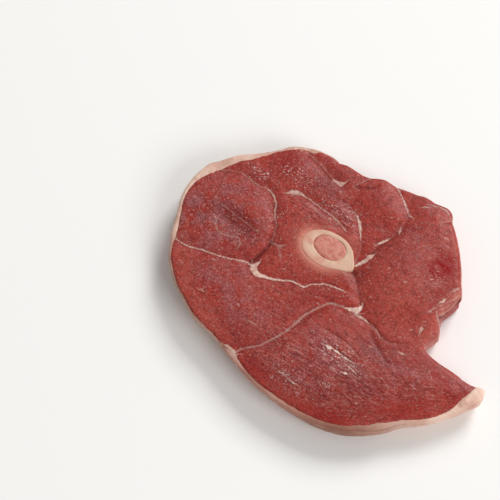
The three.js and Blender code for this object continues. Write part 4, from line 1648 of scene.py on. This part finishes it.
@dataclass
class Marbling:
    """Flecks of fat and gristle sown over the upper cut face.

    Attributes:
        density: flecks to a square millimetre where they are thickest.
        spacing_mm: the least distance between two.
        smallest_mm: half sizes of the smallest, along its length, its width and its height.
        largest_mm: the same of the largest.
        turns_deg: the least and most that a fleck is turned from X.
        seed: the seed of their places, sizes and turns.
        finish: their finish.
    """

    density: float = 0.3
    spacing_mm: float = 0.9
    smallest_mm: tuple[float, float, float] = (0.15, 0.1, 0.1)
    largest_mm: tuple[float, float, float] = (0.6, 0.22, 0.16)
    turns_deg: tuple[float, float] = (-25.0, 70.0)
    seed: int = 4
    finish: Finish = FleckFinish()

    def build(self, lean: bpy.types.Object) -> bpy.types.Object:
        """Builds the piece and dresses it.

        Args:
            lean: the finished lean meat, which the flecks lie in.

        Returns:
            The flecks.
        """
        piece = bpy.data.objects.new("marbling", lean.data.copy())
        bpy.context.scene.collection.objects.link(piece)
        sizes = {
            "Density": self.density / MM**2,
            "Spacing": self.spacing_mm * MM,
            "Smallest": tuple(size * MM for size in self.smallest_mm),
            "Largest": tuple(size * MM for size in self.largest_mm),
            "Seed": self.seed,
        }
        run_tree(piece, self.tree(sizes), sizes)
        finish_piece(piece, Slot.FAT)
        return piece

    def tree(self, sizes: dict[str, object]) -> bpy.types.NodeTree:
        """Builds the tree that sows small long flecks where the attribute fleck of a surface says so.

        Args:
            sizes: the sizes that are its inputs.

        Returns:
            The tree.
        """
        tree, given = new_geometry_tree("Marbling", sizes)
        add = partial(add_node, tree)
        share = add("GeometryNodeInputNamedAttribute", {"Name": "fleck"}, data_type="FLOAT")
        sown = add("GeometryNodeDistributePointsOnFaces", {
            "Mesh": given.outputs["Geometry"],
            "Distance Min": given.outputs["Spacing"],
            "Density Max": given.outputs["Density"],
            "Density Factor": share.outputs[0],
            "Seed": given.outputs["Seed"],
        }, distribute_method="POISSON")
        grain = add("GeometryNodeMeshIcoSphere", {"Radius": 1.0, "Subdivisions": 1})
        least, most = ((0.0, 0.0, math.radians(turn)) for turn in self.turns_deg)
        turn, size = (
            add("FunctionNodeRandomValue", {
                0: low, 1: high, "Seed": given.outputs["Seed"],
            }, data_type="FLOAT_VECTOR")
            for low, high in ((least, most), (given.outputs["Smallest"], given.outputs["Largest"]))
        )
        flecks = add("GeometryNodeInstanceOnPoints", {
            "Points": sown.outputs["Points"],
            "Instance": grain.outputs[0],
            "Rotation": turn.outputs[0],
            "Scale": size.outputs[0],
        })
        end_geometry_tree(tree, flecks.outputs[0], self.finish.material())
        return tree


@dataclass(frozen=True)
class Lamp:
    """A soft light that faces the part: its name, its place and width in metres, and its power in watts."""

    name: str
    place: tuple[float, float, float]
    width: float
    power: float


@dataclass
class Studio:
    """A pale floor, soft light and the camera."""

    floor_half: float = 3.0
    floor_colour: str = "#f7f6f4"
    floor_roughness: float = 0.9
    air_colour: str = "#fbfaf8"
    air_strength: float = 0.38
    lamps: tuple[Lamp, ...] = (
        Lamp("Key", (-0.1, 2.3, 1.9), 1.3, 60.0),
        Lamp("Fill", (2.4, -0.2, 1.7), 1.5, 40.0),
    )
    azimuth_deg: float = 40.0
    elevation_deg: float = 65.0
    distance: float = 0.717
    aim_mm: tuple[float, float, float] = (-40.6, -8.04, 0.0)
    lens_mm: float = 120.0
    sensor_mm: float = 36.0
    nearest: float = 0.01

    def build(self) -> None:
        """Builds everything round the part."""
        self.make_floor()
        self.make_camera()
        for lamp in self.lamps:
            self.hang(lamp)
        world = bpy.data.worlds.new("Studio air")
        world.use_nodes = True
        background = world.node_tree.nodes["Background"]
        background.inputs["Color"].default_value = linear(self.air_colour)
        background.inputs["Strength"].default_value = self.air_strength
        bpy.context.scene.world = world
        bpy.context.scene.view_settings.view_transform = "Standard"

    def make_floor(self) -> None:
        """Lays the floor at the height of the resting face."""
        half = self.floor_half
        corners = [(-half, -half, 0), (half, -half, 0), (half, half, 0), (-half, half, 0)]
        mesh = bpy.data.meshes.new("floor")
        mesh.from_pydata(corners, [], [(0, 1, 2, 3)])
        floor = bpy.data.objects.new("floor", mesh)
        bpy.context.scene.collection.objects.link(floor)
        paper = bpy.data.materials.new("Matt paper")
        paper.use_nodes = True
        shader = paper.node_tree.nodes["Principled BSDF"]
        shader.inputs["Base Color"].default_value = linear(self.floor_colour)
        shader.inputs["Roughness"].default_value = self.floor_roughness
        mesh.materials.append(paper)

    def make_camera(self) -> None:
        """Aims the camera as the photograph was taken."""
        azimuth = math.radians(self.azimuth_deg)
        elevation = math.radians(self.elevation_deg)
        back = Vector((
            math.sin(azimuth) * math.cos(elevation),
            -math.cos(azimuth) * math.cos(elevation),
            math.sin(elevation),
        ))
        data = bpy.data.cameras.new("camera")
        data.lens = self.lens_mm
        data.sensor_width = self.sensor_mm
        data.clip_start = self.nearest
        camera = bpy.data.objects.new("camera", data)
        bpy.context.scene.collection.objects.link(camera)
        camera.location = Vector(self.aim_mm) * MM + back * self.distance
        camera.rotation_euler = (-back).to_track_quat("-Z", "Y").to_euler()
        bpy.context.scene.camera = camera

    def hang(self, lamp: Lamp) -> None:
        """Hangs one lamp, facing the part.

        Args:
            lamp: the lamp.
        """
        data = bpy.data.lights.new(lamp.name, "AREA")
        data.size = lamp.width
        data.energy = lamp.power
        light = bpy.data.objects.new(lamp.name, data)
        bpy.context.scene.collection.objects.link(light)
        light.location = lamp.place
        light.rotation_euler = Vector(lamp.place).to_track_quat("Z", "Y").to_euler()


def main() -> None:
    """Builds the pieces in order and reports each of them."""
    logging.basicConfig(level=logging.INFO, format="%(name)s: %(message)s")
    Studio().build()
    pieces = [maker.build() for maker in (LeanMeat(), FatCover(), ThighBone(), Marrow())]
    pieces.append(Marbling().build(pieces[0]))
    for piece in pieces:
        LOG.info("%s: %d faces", piece.name, len(piece.data.polygons))


if __name__ == "__main__":
    main()
